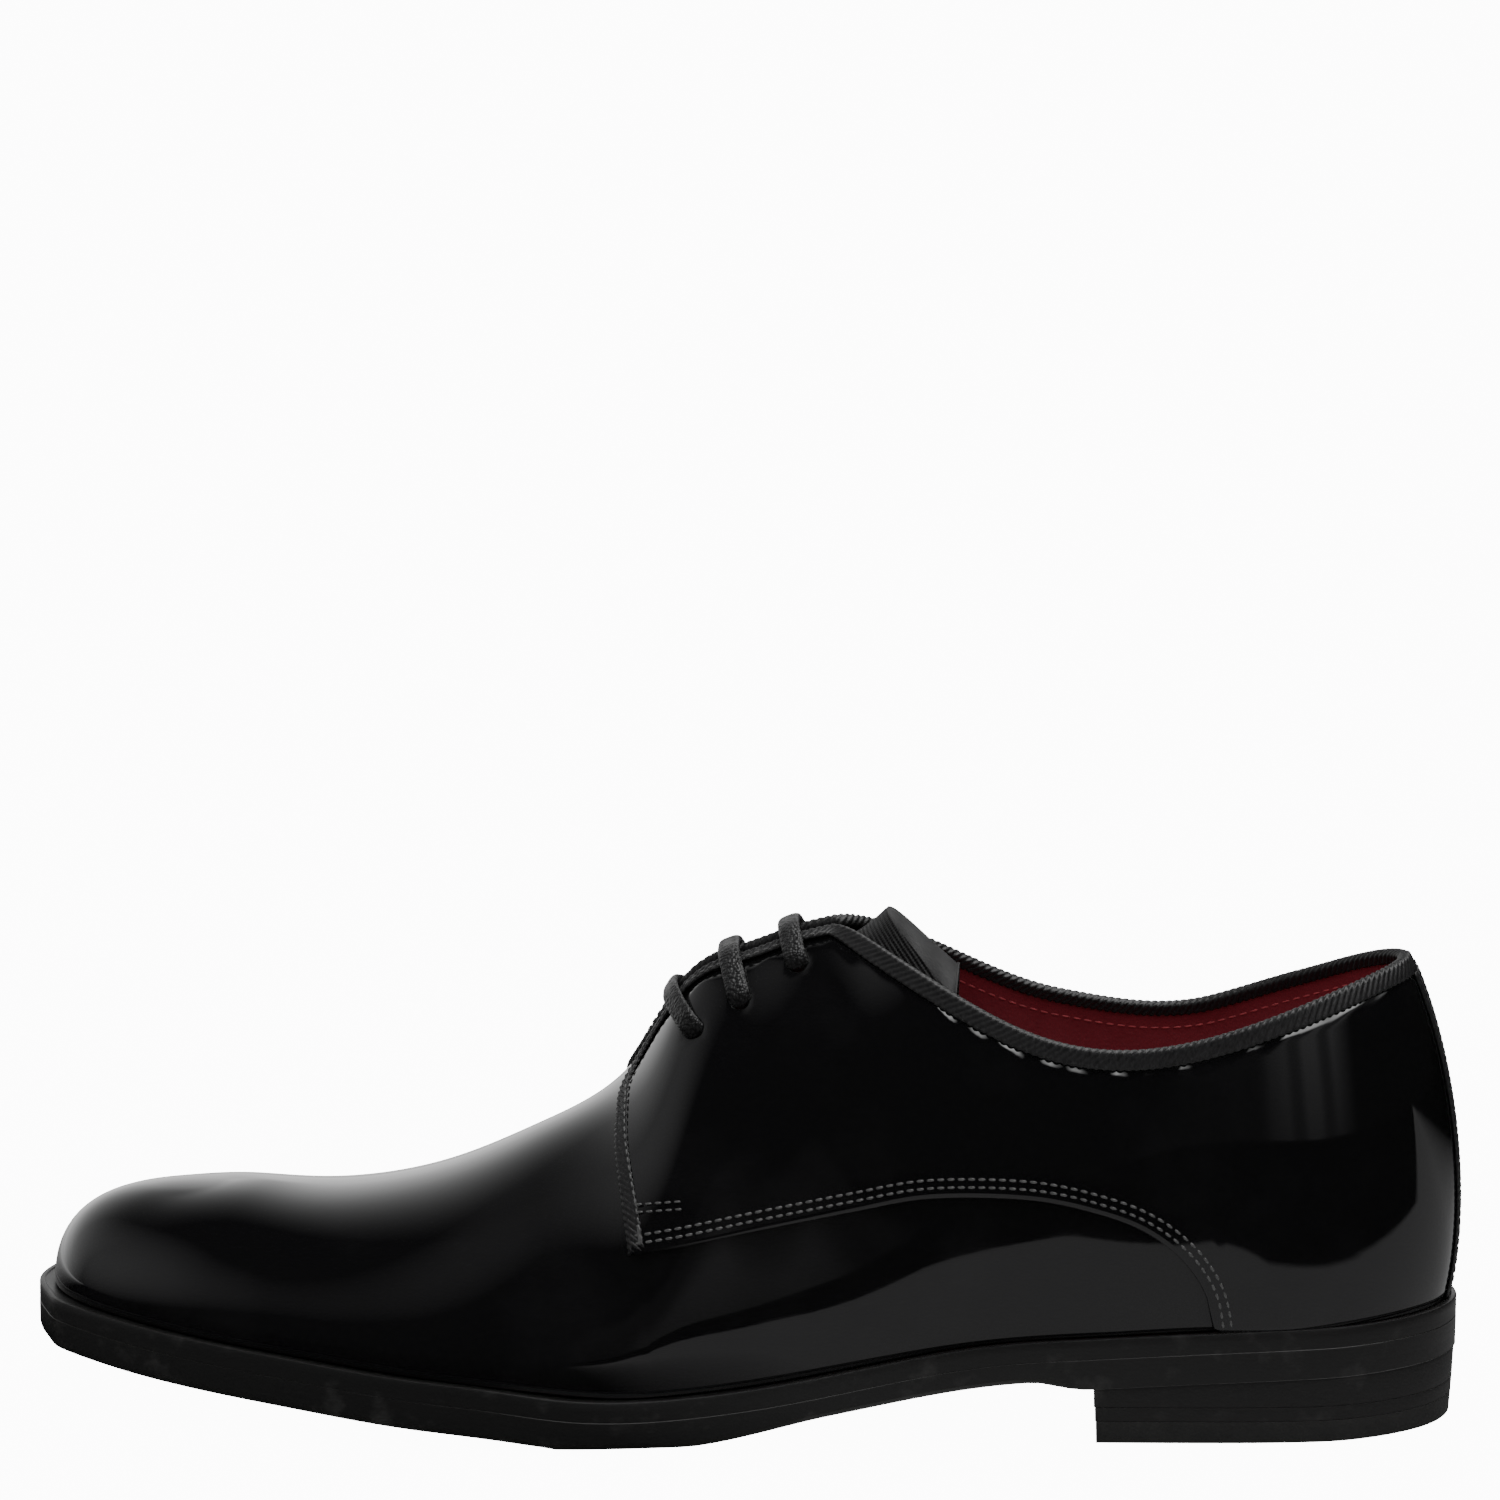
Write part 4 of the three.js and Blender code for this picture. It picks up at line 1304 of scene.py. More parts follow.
def stitch_shape(length: float, radius: float, sides: int = 6, rings: int = 5) -> tuple[Array, list]:
    """One stitch, lying along X.

    Args:
        length: Its length.
        radius: The thread's radius.
        sides: Points round it.
        rings: Sections along it.

    Returns:
        Points and faces.
    """
    at = np.linspace(0.04, math.pi - 0.04, rings)
    a = np.arange(sides) * 2 * math.pi / sides
    points = np.stack([
        np.repeat(-np.cos(at) * length / 2, sides),
        (np.sin(at)[:, None] ** 0.6 * np.cos(a)).ravel() * radius,
        (np.sin(at)[:, None] ** 0.6 * np.sin(a)).ravel() * radius,
    ], 1)
    faces = [f[::-1] for f in grid_faces(rings, sides, close_columns=True)]
    return points, faces + [list(range(sides)), [(rings - 1) * sides + k for k in range(sides)][::-1]]


def stitches(track: Track, pitch: float, length: float, radius: float, sink: float = 0.0) -> tuple[Array, list]:
    """A row of stitches along a track.

    Args:
        track: The line.
        pitch: Distance between stitches.
        length: A stitch's length.
        radius: The thread's radius.
        sink: How far they lie under the line.

    Returns:
        Points and faces.
    """
    even = track.even(pitch)
    tangent = unit(np.gradient(even.points, axis=0))
    points, faces = stitch_shape(length, radius)
    parts = []
    for p, t, n in zip(even.points, tangent, even.normals):
        side = unit(np.cross(n, t))
        up = np.cross(t, side)
        turned = points[:, :1] * t + points[:, 1:2] * side + points[:, 2:3] * up
        parts.append((turned + p - n * sink, faces))
    return joined(parts)


@dataclass
class Layers:
    """Where each layer of the upper lies, outwards from the last's surface."""

    vamp: tuple = (-1.15, 0.0)
    quarter: tuple = (0.2, 1.35)
    lining_deep: tuple = (-2.2, -1.35)
    lining_edge: tuple = (-0.75, 0.05)
    puff: tuple = (-2.0, -1.5)
    ribbon: float = 0.5
    strip: tuple = (1.4, 1.95)


SEAM = [
    (-20.6, 38.7), (3.4, 43.6), (23.5, 47.5), (39.6, 50.5), (59.8, 50.8), (74.1, 48.2), (84.3, 44.2), (92.5, 37.3),
    (97.2, 28.1), (98.5, 12),
]
TOPLINE = [
    (-14, 116), (8, 105.5), (14, 102.3), (20, 100.2), (26, 98), (36, 93.4), (46, 88.3), (60, 82.4), (74, 79.9),
    (95, 82.5), (118, 90.4), (136, 95.8), (152, 97.6),
]
FACING_X = -24.8
MEDIAL_DIP = 3.4
FACING_HALF = 5.0
EYELETS_AT = ((-9.5, 18), (-0.4, 15.6), (11.2, 12.1))


class Upper(Maker):
    """Vamp, quarters, linings, stiffeners, ribbon and sewing."""

    def __init__(self, form: Form, finishes: Finishes, layers: Layers) -> None:
        """Works out the edges.

        Args:
            form: The shoe's form.
            finishes: The materials.
            layers: Where each layer lies.
        """
        super().__init__(form, finishes)
        self.layers = layers
        seam = through(np.array(SEAM), 12)
        self.seam = lambda x: np.where(x > SEAM[-1][0], -99.0, np.interp(x, seam[:, 0], seam[:, 1]))
        turn = unit(np.gradient(seam, axis=0))
        lap = seam + np.stack([-turn[:, 1], turn[:, 0]], 1) * 7
        self.lap = lambda x: np.where(x > lap[:, 0].max(), -99.0, np.interp(x, lap[:, 0], lap[:, 1]))
        line = profile(TOPLINE)
        dip = lambda x: MEDIAL_DIP * smooth(x, 66, 98) * (1 - smooth(x, 116, 146))
        self.top = lambda x, y: line(x) - np.where(y > 0, dip(x), 0.0)
        middle = np.linspace(0, form.last_rib, 400)
        self.rib_x = lambda u: np.interp(np.abs(u), middle, form.point(middle, np.full_like(middle, 0.8))[:, 0])

    def half_gap(self, x: Array) -> Array:
        """Half the width between the facings, rounded at their front corners.

        Args:
            x: X.

        Returns:
            Half the width there.
        """
        r = 8.0
        d = np.clip(x - FACING_X, 0, r)
        return FACING_HALF + r - np.sqrt(r * r - (r - d) ** 2)

    def facing_edge(self, x: Array, drop: float) -> Array:
        """Distance of the facing's edge from the middle, lowered by a drop, fading to nothing past the throat."""
        return (self.half_gap(x) + drop) * (1 - smooth(x, 26, 46)) - 0.01

    def low(self, u: Array) -> Array:
        """Height share of the quarter's lower edge."""
        return self.form.height_where(u, lambda p: p[..., 2] < self.seam(p[..., 0]))

    def high(self, u: Array, drop: float = 0.0) -> Array:
        """Height share of the quarter's upper edge.

        Args:
            u: Ribs.
            drop: How far under the edge.

        Returns:
            h for each rib.
        """
        gap = self.form.height_where(u, lambda p: np.abs(p[..., 1]) > self.facing_edge(p[..., 0], drop))
        top = self.form.height_where(u, lambda p: p[..., 2] < self.top(p[..., 0], p[..., 1]) - drop)
        k = 34.0
        return -np.log(np.exp(-k * gap) + np.exp(-k * top)) / k

    def quarter_sheet(self, side: Side, drop: float = 0.0, columns: int = 190, rows: int = 70) -> Sheet:
        """The quarter's patch.

        Args:
            side: Which side.
            drop: How far its upper edge is lowered.
            columns: Grid size lengthwise.
            rows: Grid size upwards.

        Returns:
            The sheet.
        """
        s, t = np.linspace(0, 1, columns)[:, None], np.linspace(0, 1, rows)[None, :]
        s = 0.72 * s + 0.28 * s * s
        t = 1 - (1 - t) ** 1.6
        front_x = SEAM[0][0] + (FACING_X - SEAM[0][0]) * np.sin(np.clip(t / 0.75, 0, 1) * math.pi / 2)
        front = self.form.rib_at(front_x, side, 0.8)
        u = front + (self.form.last_rib * side.value - front) * s
        low, high = self.low(u), self.high(u, drop)
        return Sheet(self.form, u, low + (high - low) * t)

    def eyelet_points(self, side: Side) -> tuple[Array, Array]:
        """Where the eyelets are, on the last's surface.

        Args:
            side: Which side.

        Returns:
            Points and normals.
        """
        x, y = np.array(EYELETS_AT).T
        u = self.form.rib_at(x, side, 0.8)
        h = self.form.height_where(u, lambda p: np.abs(p[..., 1]) > y)
        return self.form.point(u, h), self.form.normal(u, h)

    def edge_distance(self, points: Array) -> Array:
        """How far points lie from the topline and the facings' edges, roughly.

        Args:
            points: The points.

        Returns:
            Their distances.
        """
        x, y, z = points.T
        over = np.abs(y) - self.half_gap(x)
        return np.where(x < 24, np.minimum(self.top(x, y) - z, over), self.top(x, y) - z)

    def vamp(self) -> None:
        """The vamp: toe, sides, and the laps under the quarters."""
        end = abs(float(self.form.rib_at(np.array(105.0), Side.LATERAL, 0.15)))
        u = np.linspace(-end, end, 460)
        top = self.form.height_where(u, lambda p: p[..., 2] < self.lap(p[..., 0]))
        share = smooth(self.rib_x(u), -21.5, -16.5)
        top = (1 - share) + top * share
        t = np.linspace(0, 1, 60)[None, :]
        sheet = Sheet(self.form, np.broadcast_to(u[:, None], (len(u), t.shape[1])), top[:, None] * t)
        sheet.faired(-117.0, 1.5, 9.0)
        self.piece("upper_vamp", sheet.solid(*self.layers.vamp), "patent_leather", ["vamp"])

    def quarters(self) -> None:
        """Both quarters, punched for the lace."""
        for side in Side:
            sheet = self.quarter_sheet(side).punch(self.eyelet_points(side)[0], 2.1)
            beside = self.edge_distance(sheet.points)
            pucker = np.sin(sheet.points[:, 0] * 0.9) + np.sin(sheet.points[:, 0] * 0.53 + 2)
            outer = self.layers.quarter[1] - 0.62 * (1 - smooth(beside, 2.4, 5.2 + 0.5 * pucker))
            solid = sheet.solid(self.layers.quarter[0], outer, bulge=0.8)
            self.piece(f"upper_{side.word}_quarter", solid, "patent_leather", [f"{side.word}_quarter"])

    def linings(self) -> None:
        """The lining of the vamp and of both quarters."""
        u = np.linspace(-7.05, 7.05, 240)
        t = np.linspace(0, 1, 44)
        grid = np.broadcast_to(u[:, None], (240, 44)), np.broadcast_to(t[None, :], (240, 44))
        sheet = Sheet(self.form, *grid)
        deep = 0.75 * (1 - smooth(sheet.points[:, 0], -116, -103))
        low, high = self.layers.lining_deep
        self.piece("lining_vamp", sheet.solid(low - deep, high - deep), "lining_leather", ["vamp_lining"])
        for side in Side:
            columns, rows = 150, 56
            s, t = np.linspace(0, 1, columns)[:, None], np.linspace(0, 1, rows)[None, :]
            front = abs(float(self.form.rib_at(np.array(FACING_X + 2.5), side, 0.8)))
            u = (front + (self.form.last_rib - front) * s) * side.value + 0 * t
            sheet = Sheet(self.form, u, self.high(u, 0.6) * t)
            share = smooth(self.edge_distance(sheet.points), 3, 17)
            inner, outer = (a + (b - a) * share for a, b in zip(self.layers.lining_edge, self.layers.lining_deep))
            name = f"lining_{side.word}_quarter"
            self.piece(name, sheet.solid(inner, outer), "lining_leather", [f"{side.word}_quarter_lining"])

    def stiffeners(self) -> None:
        """Toe puff, heel counter and the stays under the eyelets."""
        span = np.linspace(-3.1, 3.1, 90)
        u, t = np.broadcast_to(span[:, None], (90, 30)), np.broadcast_to(np.linspace(0.02, 1, 30)[None, :], (90, 30))
        sheet = Sheet(self.form, u, t)
        self.piece("stiffener_toe_puff", sheet.solid(*self.layers.puff), "board", ["toe_puff"])
        u = self.form.last_rib + np.linspace(-2.6, 2.6, 80)[:, None] + 0 * t[0][None, :]
        limit = 68 - 30 * (np.abs(u - self.form.last_rib) / 2.6) ** 3
        top = self.form.height_where(u, lambda p: p[..., 2] < limit)
        sheet = Sheet(self.form, u, 0.03 + (top - 0.03) * np.linspace(0, 1, 30)[None, :])
        self.piece("stiffener_heel_counter", sheet.solid(-1.1, -0.2), "board", ["heel_counter"])
        for side in Side:
            start, end = self.form.rib_at(np.array([-17.0, 15.0]), side, 0.8)
            u = np.linspace(start, end, 40)
            limits = [self.form.height_where(u, lambda p, y=y: np.abs(p[..., 1]) > y) for y in (23.0, 8.5)]
            t = np.linspace(0, 1, 24)[None, :]
            h = limits[0][:, None] + (limits[1] - limits[0])[:, None] * t
            sheet = Sheet(self.form, u[:, None] + 0 * t, h).punch(self.eyelet_points(side)[0], 2.3)
            name = f"stiffener_{side.word}_stay"
            self.piece(name, sheet.solid(-0.3, 0.12), "board", [f"{side.word}_eyelet_stay"])

    def edge_track(self, side: Side) -> Track:
        """The quarter's bound edge: up the front, along the facing and round the topline to the back.

        Args:
            side: Which side.

        Returns:
            The line on the last's surface.
        """
        sheet = self.quarter_sheet(side, columns=420, rows=90)
        path = np.concatenate([sheet.index[0], sheet.index[1:, -1]])
        inside = np.concatenate([sheet.index[1], sheet.index[1:, -2]])
        corner = len(sheet.index[0])
        points, normals = sheet.points[path], sheet.normals[path]
        outs = points - sheet.points[inside]
        outs[:corner] = sheet.points[path[:corner]] - sheet.points[inside[:corner]]
        tangent = unit(np.gradient(points, axis=0))
        outs = unit(np.cross(tangent, normals)) * np.sign(np.sum(outs * np.cross(tangent, normals), axis=1))[:, None]
        return Track(points, normals, outs).even(0.27).softened(9)

    def ribbon_section(self, lap_out: Array, lap_in: Array, rise: Array) -> Array:
        """Cross sections of the folded ribbon.

        Args:
            lap_out: How far it laps onto the outside, at each point of its length.
            lap_in: How far it laps onto the inside.
            rise: Height of its outer face over the last's surface.

        Returns:
            One closed section for each point.
        """
        w = self.layers.ribbon
        low = self.layers.lining_edge[0] - 0.08 - w
        rows = []
        for out, inn, top in zip(lap_out, lap_in, rise):
            middle, half = (top + low) / 2, (top - low) / 2
            turn = np.linspace(math.pi / 2, -math.pi / 2, 11)
            fold = np.stack([np.cos(turn) * 0.95 + 0.05, middle + np.sin(turn) * half], 1)
            inner = np.stack([np.cos(turn[::-1]) * 0.6 + 0.0, middle + np.sin(turn[::-1]) * (half - w)], 1)
            legs = np.linspace(-out, -0.4, 9)[:, None] * (1, 0) + (0, top)
            legs_low = np.linspace(-0.4, -inn, 7)[:, None] * (1, 0) + (0, low)
            back_low = np.linspace(-inn, -0.3, 4)[:, None] * (1, 0) + (0, low + w)
            back = np.linspace(-0.3, -out, 4)[:, None] * (1, 0) + (0, top - w)
            rows.append(np.concatenate([legs, fold, legs_low, back_low, inner, back]))
        return np.array(rows)

    def binding(self) -> None:
        """The ribbed ribbon round the facings and the topline, in one length."""
        lateral, medial = (self.edge_track(side) for side in Side)
        track = lateral.joined(medial.reversed())
        along = lengths(track.points)
        from_end = np.minimum(along, along[-1] - along)
        collar = smooth(track.points[:, 0], 12, 30)
        log.info("ribbon: %.0f mm", along[-1])
        lap_out = 2.7 + 0.5 * collar
        lap_in = 1.5 + 0.3 * collar
        level = self.layers.quarter[1] - 0.3 + self.layers.ribbon
        rise = np.full(len(along), level) - 0.25 * smooth(-from_end, -2, 0)
        section = self.ribbon_section(lap_out, lap_in, rise)
        across = np.concatenate([[0], np.cumsum(np.linalg.norm(np.diff(section[len(section) // 2], axis=0), axis=1))])
        phase = (along[:, None] - 0.85 * across[None, :]) / 1.55
        ribs = 0.42 * (np.abs(np.sin(math.pi * phase)) - 0.8)
        visible = np.zeros(section.shape[1])
        visible[:27] = 1
        points, faces = sweep(track, section, ribs * visible)
        self.piece("ribbon_binding", (points, faces), "ribbon", ["collar_binding"])

    def back_strip(self) -> None:
        """The ribbon strip down the heel seam, ribbed and sewn along both edges."""
        h = np.linspace(0.0, 1, 150)
        back = self.form.last_rib
        stop = float(self.high(np.array([float(back)]), 3.4)[0])
        h = h * stop
        table = np.linspace(0, 1.6, 60)
        across = np.linspace(-5.9, 5.9, 25)
        both = np.concatenate([-table[::-1], table[1:]])
        rows = []
        for share in h:
            y = np.abs(self.form.point(back - table, np.full_like(table, share))[:, 1])
            rows.append(np.interp(across, np.concatenate([-y[::-1], y[1:]]), both))
        u = back + np.array(rows)
        sheet = Sheet(self.form, u, np.broadcast_to(h[:, None], u.shape))
        z = sheet.points[:, 2] + sheet.points[:, 1] * 0.5
        low, high = self.layers.strip
        wave = 0.08 * np.sin(2 * math.pi * z / 1.5)
        self.piece("ribbon_back_strip", sheet.solid(low, high + wave), "ribbon", ["back_strip"])
        parts = []
        for y in (-4.7, 4.7):
            u = np.array([back + np.interp(y, across, row) for row in rows])
            line = Track(self.form.point(u, h), self.form.normal(u, h), self.form.normal(u, h))
            parts.append(stitches(line.moved(up=high + 0.1), 2.0, 1.5, 0.2))
        self.piece("sewing_back_strip", joined(parts), "black_thread", slot="ribbon")

    def seam_track(self, side: Side, above: float) -> Track:
        """A line parallel to the quarter's lower edge.

        Args:
            side: Which side.
            above: Distance from the edge.

        Returns:
            The line on the quarter's outer surface.
        """
        u = self.form.rib_at(np.linspace(SEAM[0][0] + 1.6, 99, 260), side, 0.35)
        low = self.low(u)
        keep = low > 0.004
        u, low = u[keep], low[keep]
        points, normals = self.form.point(u, low), self.form.normal(u, low)
        tangent = unit(np.gradient(points, axis=0))
        outs = unit(np.cross(normals, tangent)) * side.value
        outs *= np.sign(np.median(outs[:, 2]))
        line = points + outs * above
        return Track(line, normals, outs).moved(up=self.layers.quarter[1]).even(0.5)

    def sewing(self) -> None:
        """The rows of stitches on the quarters, the facings and the lining."""
        for side in Side:
            parts = []
            for row in (1.7, 3.35):
                parts.append(stitches(self.seam_track(side, row), 2.1, 1.5, 0.34, 0.02))
            front = self.seam_track(side, 1.7)
            start, n, o = front.points[1], front.normals[1], front.outs[1]
            t = unit(front.points[6] - front.points[0])
            for k in range(3):
                bar = np.stack([start + o * (0.2 + 1.1 * k + s) - t * 0.2 for s in (0, 0.9)])
                parts.append(stitches(Track(bar, np.stack([n, n]), np.stack([o, o])), 0.9, 1.2, 0.4, 0.05))
            for row in (6.4, 8.0):
                tab = np.stack([start + o * (row - 0.08 * s) + t * s for s in np.linspace(0.5, 8.5, 12)])
                frames = np.repeat(n[None], 12, 0), np.repeat(o[None], 12, 0)
                parts.append(stitches(Track(tab, *frames), 2.0, 1.4, 0.28, -0.05))
            self.piece(f"sewing_{side.word}_seam", joined(parts), "black_thread", slot="patent_leather")
            edge = self.edge_track(side)
            inside = edge.points[:, 0] > 14
            line = Track(edge.points[inside], edge.normals[inside], edge.outs[inside])
            line = line.moved(out=-4.7, up=self.layers.lining_edge[0] - 0.15)
            row = stitches(line, 2.4, 1.7, 0.24)
            self.piece(f"sewing_{side.word}_lining", row, "red_thread", slot="lining_leather")
            facing = (edge.points[:, 0] < 16) & (lengths(edge.points) > 2)
            line = Track(edge.points[facing], edge.normals[facing], edge.outs[facing])
            row = stitches(line.moved(out=-2.5, up=self.layers.quarter[1] + 0.55), 2.0, 1.4, 0.2)
            self.piece(f"sewing_{side.word}_facing", row, "black_thread", slot="ribbon")

    def build(self) -> None:
        """Builds every piece of the upper."""
        self.vamp()
        self.quarters()
        self.linings()
        self.stiffeners()
        self.binding()
        self.back_strip()
        self.sewing()


class Tongue(Maker):
    """The tongue and its lining, at the throat; they are left off the shoe's body."""

    half_width = 23.0
    front_x = -34.0
    ridge_end = (29.5, 103.5)
    side_end = (50.0, 83.0)

    def sheet(self, inset: float) -> Sheet:
        """The tongue's patch.

        Args:
            inset: How far its edges are drawn in.

        Returns:
            The sheet.
        """
        form = self.form
        (x0, z0), (x1, z1) = self.ridge_end, self.side_end
        slope = (z1 - z0) / (x1 - x0)
        start = abs(float(form.rib_at(np.array(self.front_x + inset), Side.LATERAL, 0.8)))
        end = abs(float(form.rib_at(np.array(x1 + 6), Side.LATERAL, 0.6)))
        table = np.linspace(start, end, 200)
        bottom = form.height_where(table, lambda p: np.abs(p[..., 1]) > self.half_width - inset)
        limit = form.height_where(table, lambda p: p[..., 2] < z0 - inset + slope * (p[..., 0] - x0))
        end = table[np.argmax(limit - bottom < 0.012)] if (limit - bottom < 0.012).any() else end
        half = start + (end - start) * np.linspace(0, 1, 120)
        t = np.linspace(0, 1, 40)
        grids = []
        for side in Side:
            u = half * side.value
            width = self.half_width - inset - 4 * smooth(-form.point(u, np.full_like(u, 0.8))[:, 0], 0, 40)
            low = form.height_where(u, lambda p: np.abs(p[..., 1]) > width)
            high = form.height_where(u, lambda p: p[..., 2] < z0 - inset + slope * (p[..., 0] - x0))
            high = np.maximum(np.where(high > 0.995, 1.0, high), low + 0.01)
            grids.append((u, low, high))
        u = np.concatenate([grids[1][0][:, None] + 0 * t, grids[0][0][:, None] + 0 * t], 1)
        h = np.concatenate([
            grids[1][1][:, None] + (grids[1][2] - grids[1][1])[:, None] * t,
            (grids[0][1][:, None] + (grids[0][2] - grids[0][1])[:, None] * t)[:, ::-1],
        ], 1)
        return Sheet(form, u, h)

    def depth(self, points: Array) -> Array:
        """How far the tongue's face lies under the last's surface: less near its free end."""
        flare = smooth(points[:, 0], 14, 34) * (1 - smooth(np.abs(points[:, 1]), 6, 20))
        return -4.6 + 3.2 * flare

    def build(self) -> None:
        """Builds both layers."""
        sheet = self.sheet(0.0)
        top = self.depth(sheet.points)
        face = self.piece("tongue_face", sheet.solid(top - 1.3, top), "tongue_cloth", ["tongue"], body=None)
        sheet = self.sheet(0.8)
        top = self.depth(sheet.points) - 1.4
        solid = sheet.solid(top - 0.8, top)
        back = self.piece("tongue_back", solid, "lining_leather", ["tongue_lining"], body=None)
        for made in (face, back):
            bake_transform(made)


class Lacing(Maker):
    """The flat lace, its aglets and the blind eyelets."""

    half_width = 2.35
    half_thickness = 0.85

    def __init__(self, form: Form, finishes: Finishes, upper: Upper) -> None:
        """Keeps the upper, whose eyelets the lace goes through.

        Args:
            form: The shoe's form.
            finishes: The materials.
            upper: The upper.
        """
        super().__init__(form, finishes)
        self.upper = upper
        self.places = {side: upper.eyelet_points(side) for side in Side}

    def at(self, side: Side, i: int, up: float, inwards: float = 0.0) -> Array:
        """A point over or under an eyelet.

        Args:
            side: Which side.
            i: Which eyelet, from the toe.
            up: Height over the last's surface.
            inwards: Distance towards the gap.

        Returns:
            The point.
        """
        point, normal = self.places[side][0][i], self.places[side][1][i]
        across = unit(np.cross(normal, np.cross((0, side.value * 1.0, 0), normal)))
        return point + normal * up + across * inwards

    def over(self, side: Side, i: int, share: float, up: float) -> Array:
        """A point over the facing, in the plane square to the throat at an eyelet.

        Args:
            side: Which side.
            i: Which eyelet, from the toe.
            share: Its distance from the middle, as a share of the eyelet's.
            up: Height over the last's surface.

        Returns:
            The point.
        """
        form, (x, y) = self.form, EYELETS_AT[i]
        eyelet = self.places[side][0][i]
        ridge = form.point(form.rib_at(np.array([x - 3.0, x + 3.0]), side, 1.0), np.ones(2))
        along = unit(ridge[1] - ridge[0])
        u = form.rib_at(np.linspace(x - 20, x + 8, 60), side, 0.8)
        h = form.height_where(u, lambda p: np.abs(p[..., 1]) > y * share)
        table = form.point(u, h)
        off = (table - eyelet) @ along
        at = np.interp(0.0, off, u)
        hh = np.interp(0.0, off, h)
        return form.point(np.array([at]), np.array([hh]))[0] + form.normal(np.array([at]), np.array([hh]))[0] * up

    def tail(self, side: Side, steps: Sequence[tuple[float, float]]) -> list[Array]:
        """Points of a tucked end, inside the quarter.

        Args:
            side: Which side.
            steps: (x, z) pairs.

        Returns:
            The points.
        """
        out = []
        for x, z in steps:
            u = self.form.rib_at(np.array([float(x)]), side, 0.5)
            h = self.form.height_where(u, lambda p: p[..., 2] < z)
            out.append((self.form.point(u, h) - self.form.normal(u, h) * 3.4)[0])
        return out

    def bar(self, i: int, a: Side, b: Side) -> list[Array]:
        """The route of one bar, from inside one facing to inside the other.

        Args:
            i: Which pair of eyelets.
            a: The side it comes from.
            b: The side it goes to.

        Returns:
            The points.
        """
        up = self.upper.layers.quarter[1]
        rise = [(1.0, -3.0), (1.0, 0.4), (0.91, up + 1.1), (0.66, up + 1.3), (0.36, up + 1.5)]
        one = [self.over(a, i, y, z) for y, z in rise]
        two = [self.over(b, i, y, z) for y, z in rise[::-1]]
        middle = (one[-1] + two[0]) / 2 + (-0.2, 0, 0.3)
        return [*one, middle, *two]

    def route(self) -> Array:
        """The lace's whole route.

        Returns:
            Its points.
        """
        lateral, medial = Side.LATERAL, Side.MEDIAL
        points = [
            *self.tail(medial, [(26, 30), (12, 34), (0, 42), (-6, 52), (-10, 62), (-12, 71)]),
            *self.bar(0, medial, lateral), *self.bar(1, lateral, medial), *self.bar(2, medial, lateral),
            *self.tail(lateral, [(12, 84), (13, 74), (14, 64), (18, 52), (25, 43), (32, 37)]),
        ]
        return resample(through(np.array(points), 16), 0.3)[0]

    def turned(self, path: Array, tangent: Array) -> Array:
        """The lace's flat direction, so that each bar lies flat and the turning happens out of sight.

        Args:
            path: Its centre line.
            tangent: The line's directions.

        Returns:
            A unit vector across the lace for each point.
        """
        carried = np.zeros_like(path)
        carried[0] = unit(np.cross(tangent[0], (0, 1.0, 0)))
        for k in range(1, len(path)):
            carried[k] = unit(carried[k - 1] - tangent[k] * np.dot(carried[k - 1], tangent[k]))
        s, marks, angles = lengths(path), [0.0], [0.0]
        for i in range(len(EYELETS_AT)):
            centre = (self.over(Side.LATERAL, i, 0.0, 3.0) + self.over(Side.MEDIAL, i, 0.0, 3.0)) / 2
            k = int(np.argmin(np.linalg.norm(path - centre, axis=1)))
            u = self.form.rib_at(np.array([centre[0]]), Side.LATERAL, 1.0)
            want = np.cross(self.form.normal(u, np.ones(1))[0], tangent[k])
            angle = math.atan2(np.dot(np.cross(carried[k], want), tangent[k]), np.dot(carried[k], want))
            angle = angles[-1] + (angle - angles[-1] + math.pi / 2) % math.pi - math.pi / 2
            marks += [s[k] - 19, s[k] + 19]
            angles += [angle, angle]
        turn = np.interp(s, marks, angles)[:, None]
        return carried * np.cos(turn) + np.cross(tangent, carried) * np.sin(turn)

    def build(self) -> None:
        """Builds the lace, aglets and eyelets."""
        path = self.route()
        kernel = np.hanning(9)[1:-1] / np.hanning(9)[1:-1].sum()
        soft = np.stack([np.convolve(np.pad(path[:, c], 3, mode="edge"), kernel, "valid") for c in range(3)], 1)
        tangent = unit(np.gradient(soft, axis=0))
        wide = self.turned(soft, tangent)
        flat = unit(np.cross(tangent, wide))
        track = Track(soft, flat, wide)
        a = np.linspace(0, 2 * math.pi, 20, endpoint=False)
        cos, sin = np.cos(a), np.sin(a)
        section = np.stack([
            self.half_width * np.sign(cos) * np.abs(cos) ** 0.8,
            self.half_thickness * np.sign(sin) * np.abs(sin) ** 0.8,
        ], 1)
        s = lengths(soft)[:, None]
        strands = [np.abs(np.sin(math.pi * (s / 1.3 + way * 3 * a / (2 * math.pi)))) for way in (1, -1)]
        braid = 0.09 * (strands[0] + strands[1] - 1)
        self.piece("lace_run", sweep(track, section, braid), "lace_cord", ["lace"])
        log.info("lace: %.0f mm", s[-1, 0])
        for side, k, way in ((Side.MEDIAL, 0, -1), (Side.LATERAL, -1, 1)):
            start, heading = soft[k], tangent[k] * way
            line = start + heading * np.linspace(-3.0, 14.0, 40)[:, None]
            frames = np.repeat(flat[k][None], 40, 0), np.repeat(wide[k][None], 40, 0)
            t = np.linspace(0, 1, 40)[:, None]
            size = 1.0 - 0.25 * smooth(t, 0.92, 1.0) + 0.06 * np.sin(t * 60) * (t < 0.2)
            ring = np.stack([1.35 * np.cos(a), 1.35 * np.sin(a)], 1)
            shape = sweep(Track(line, *frames), ring[None] * size[..., None])
            if way < 0:
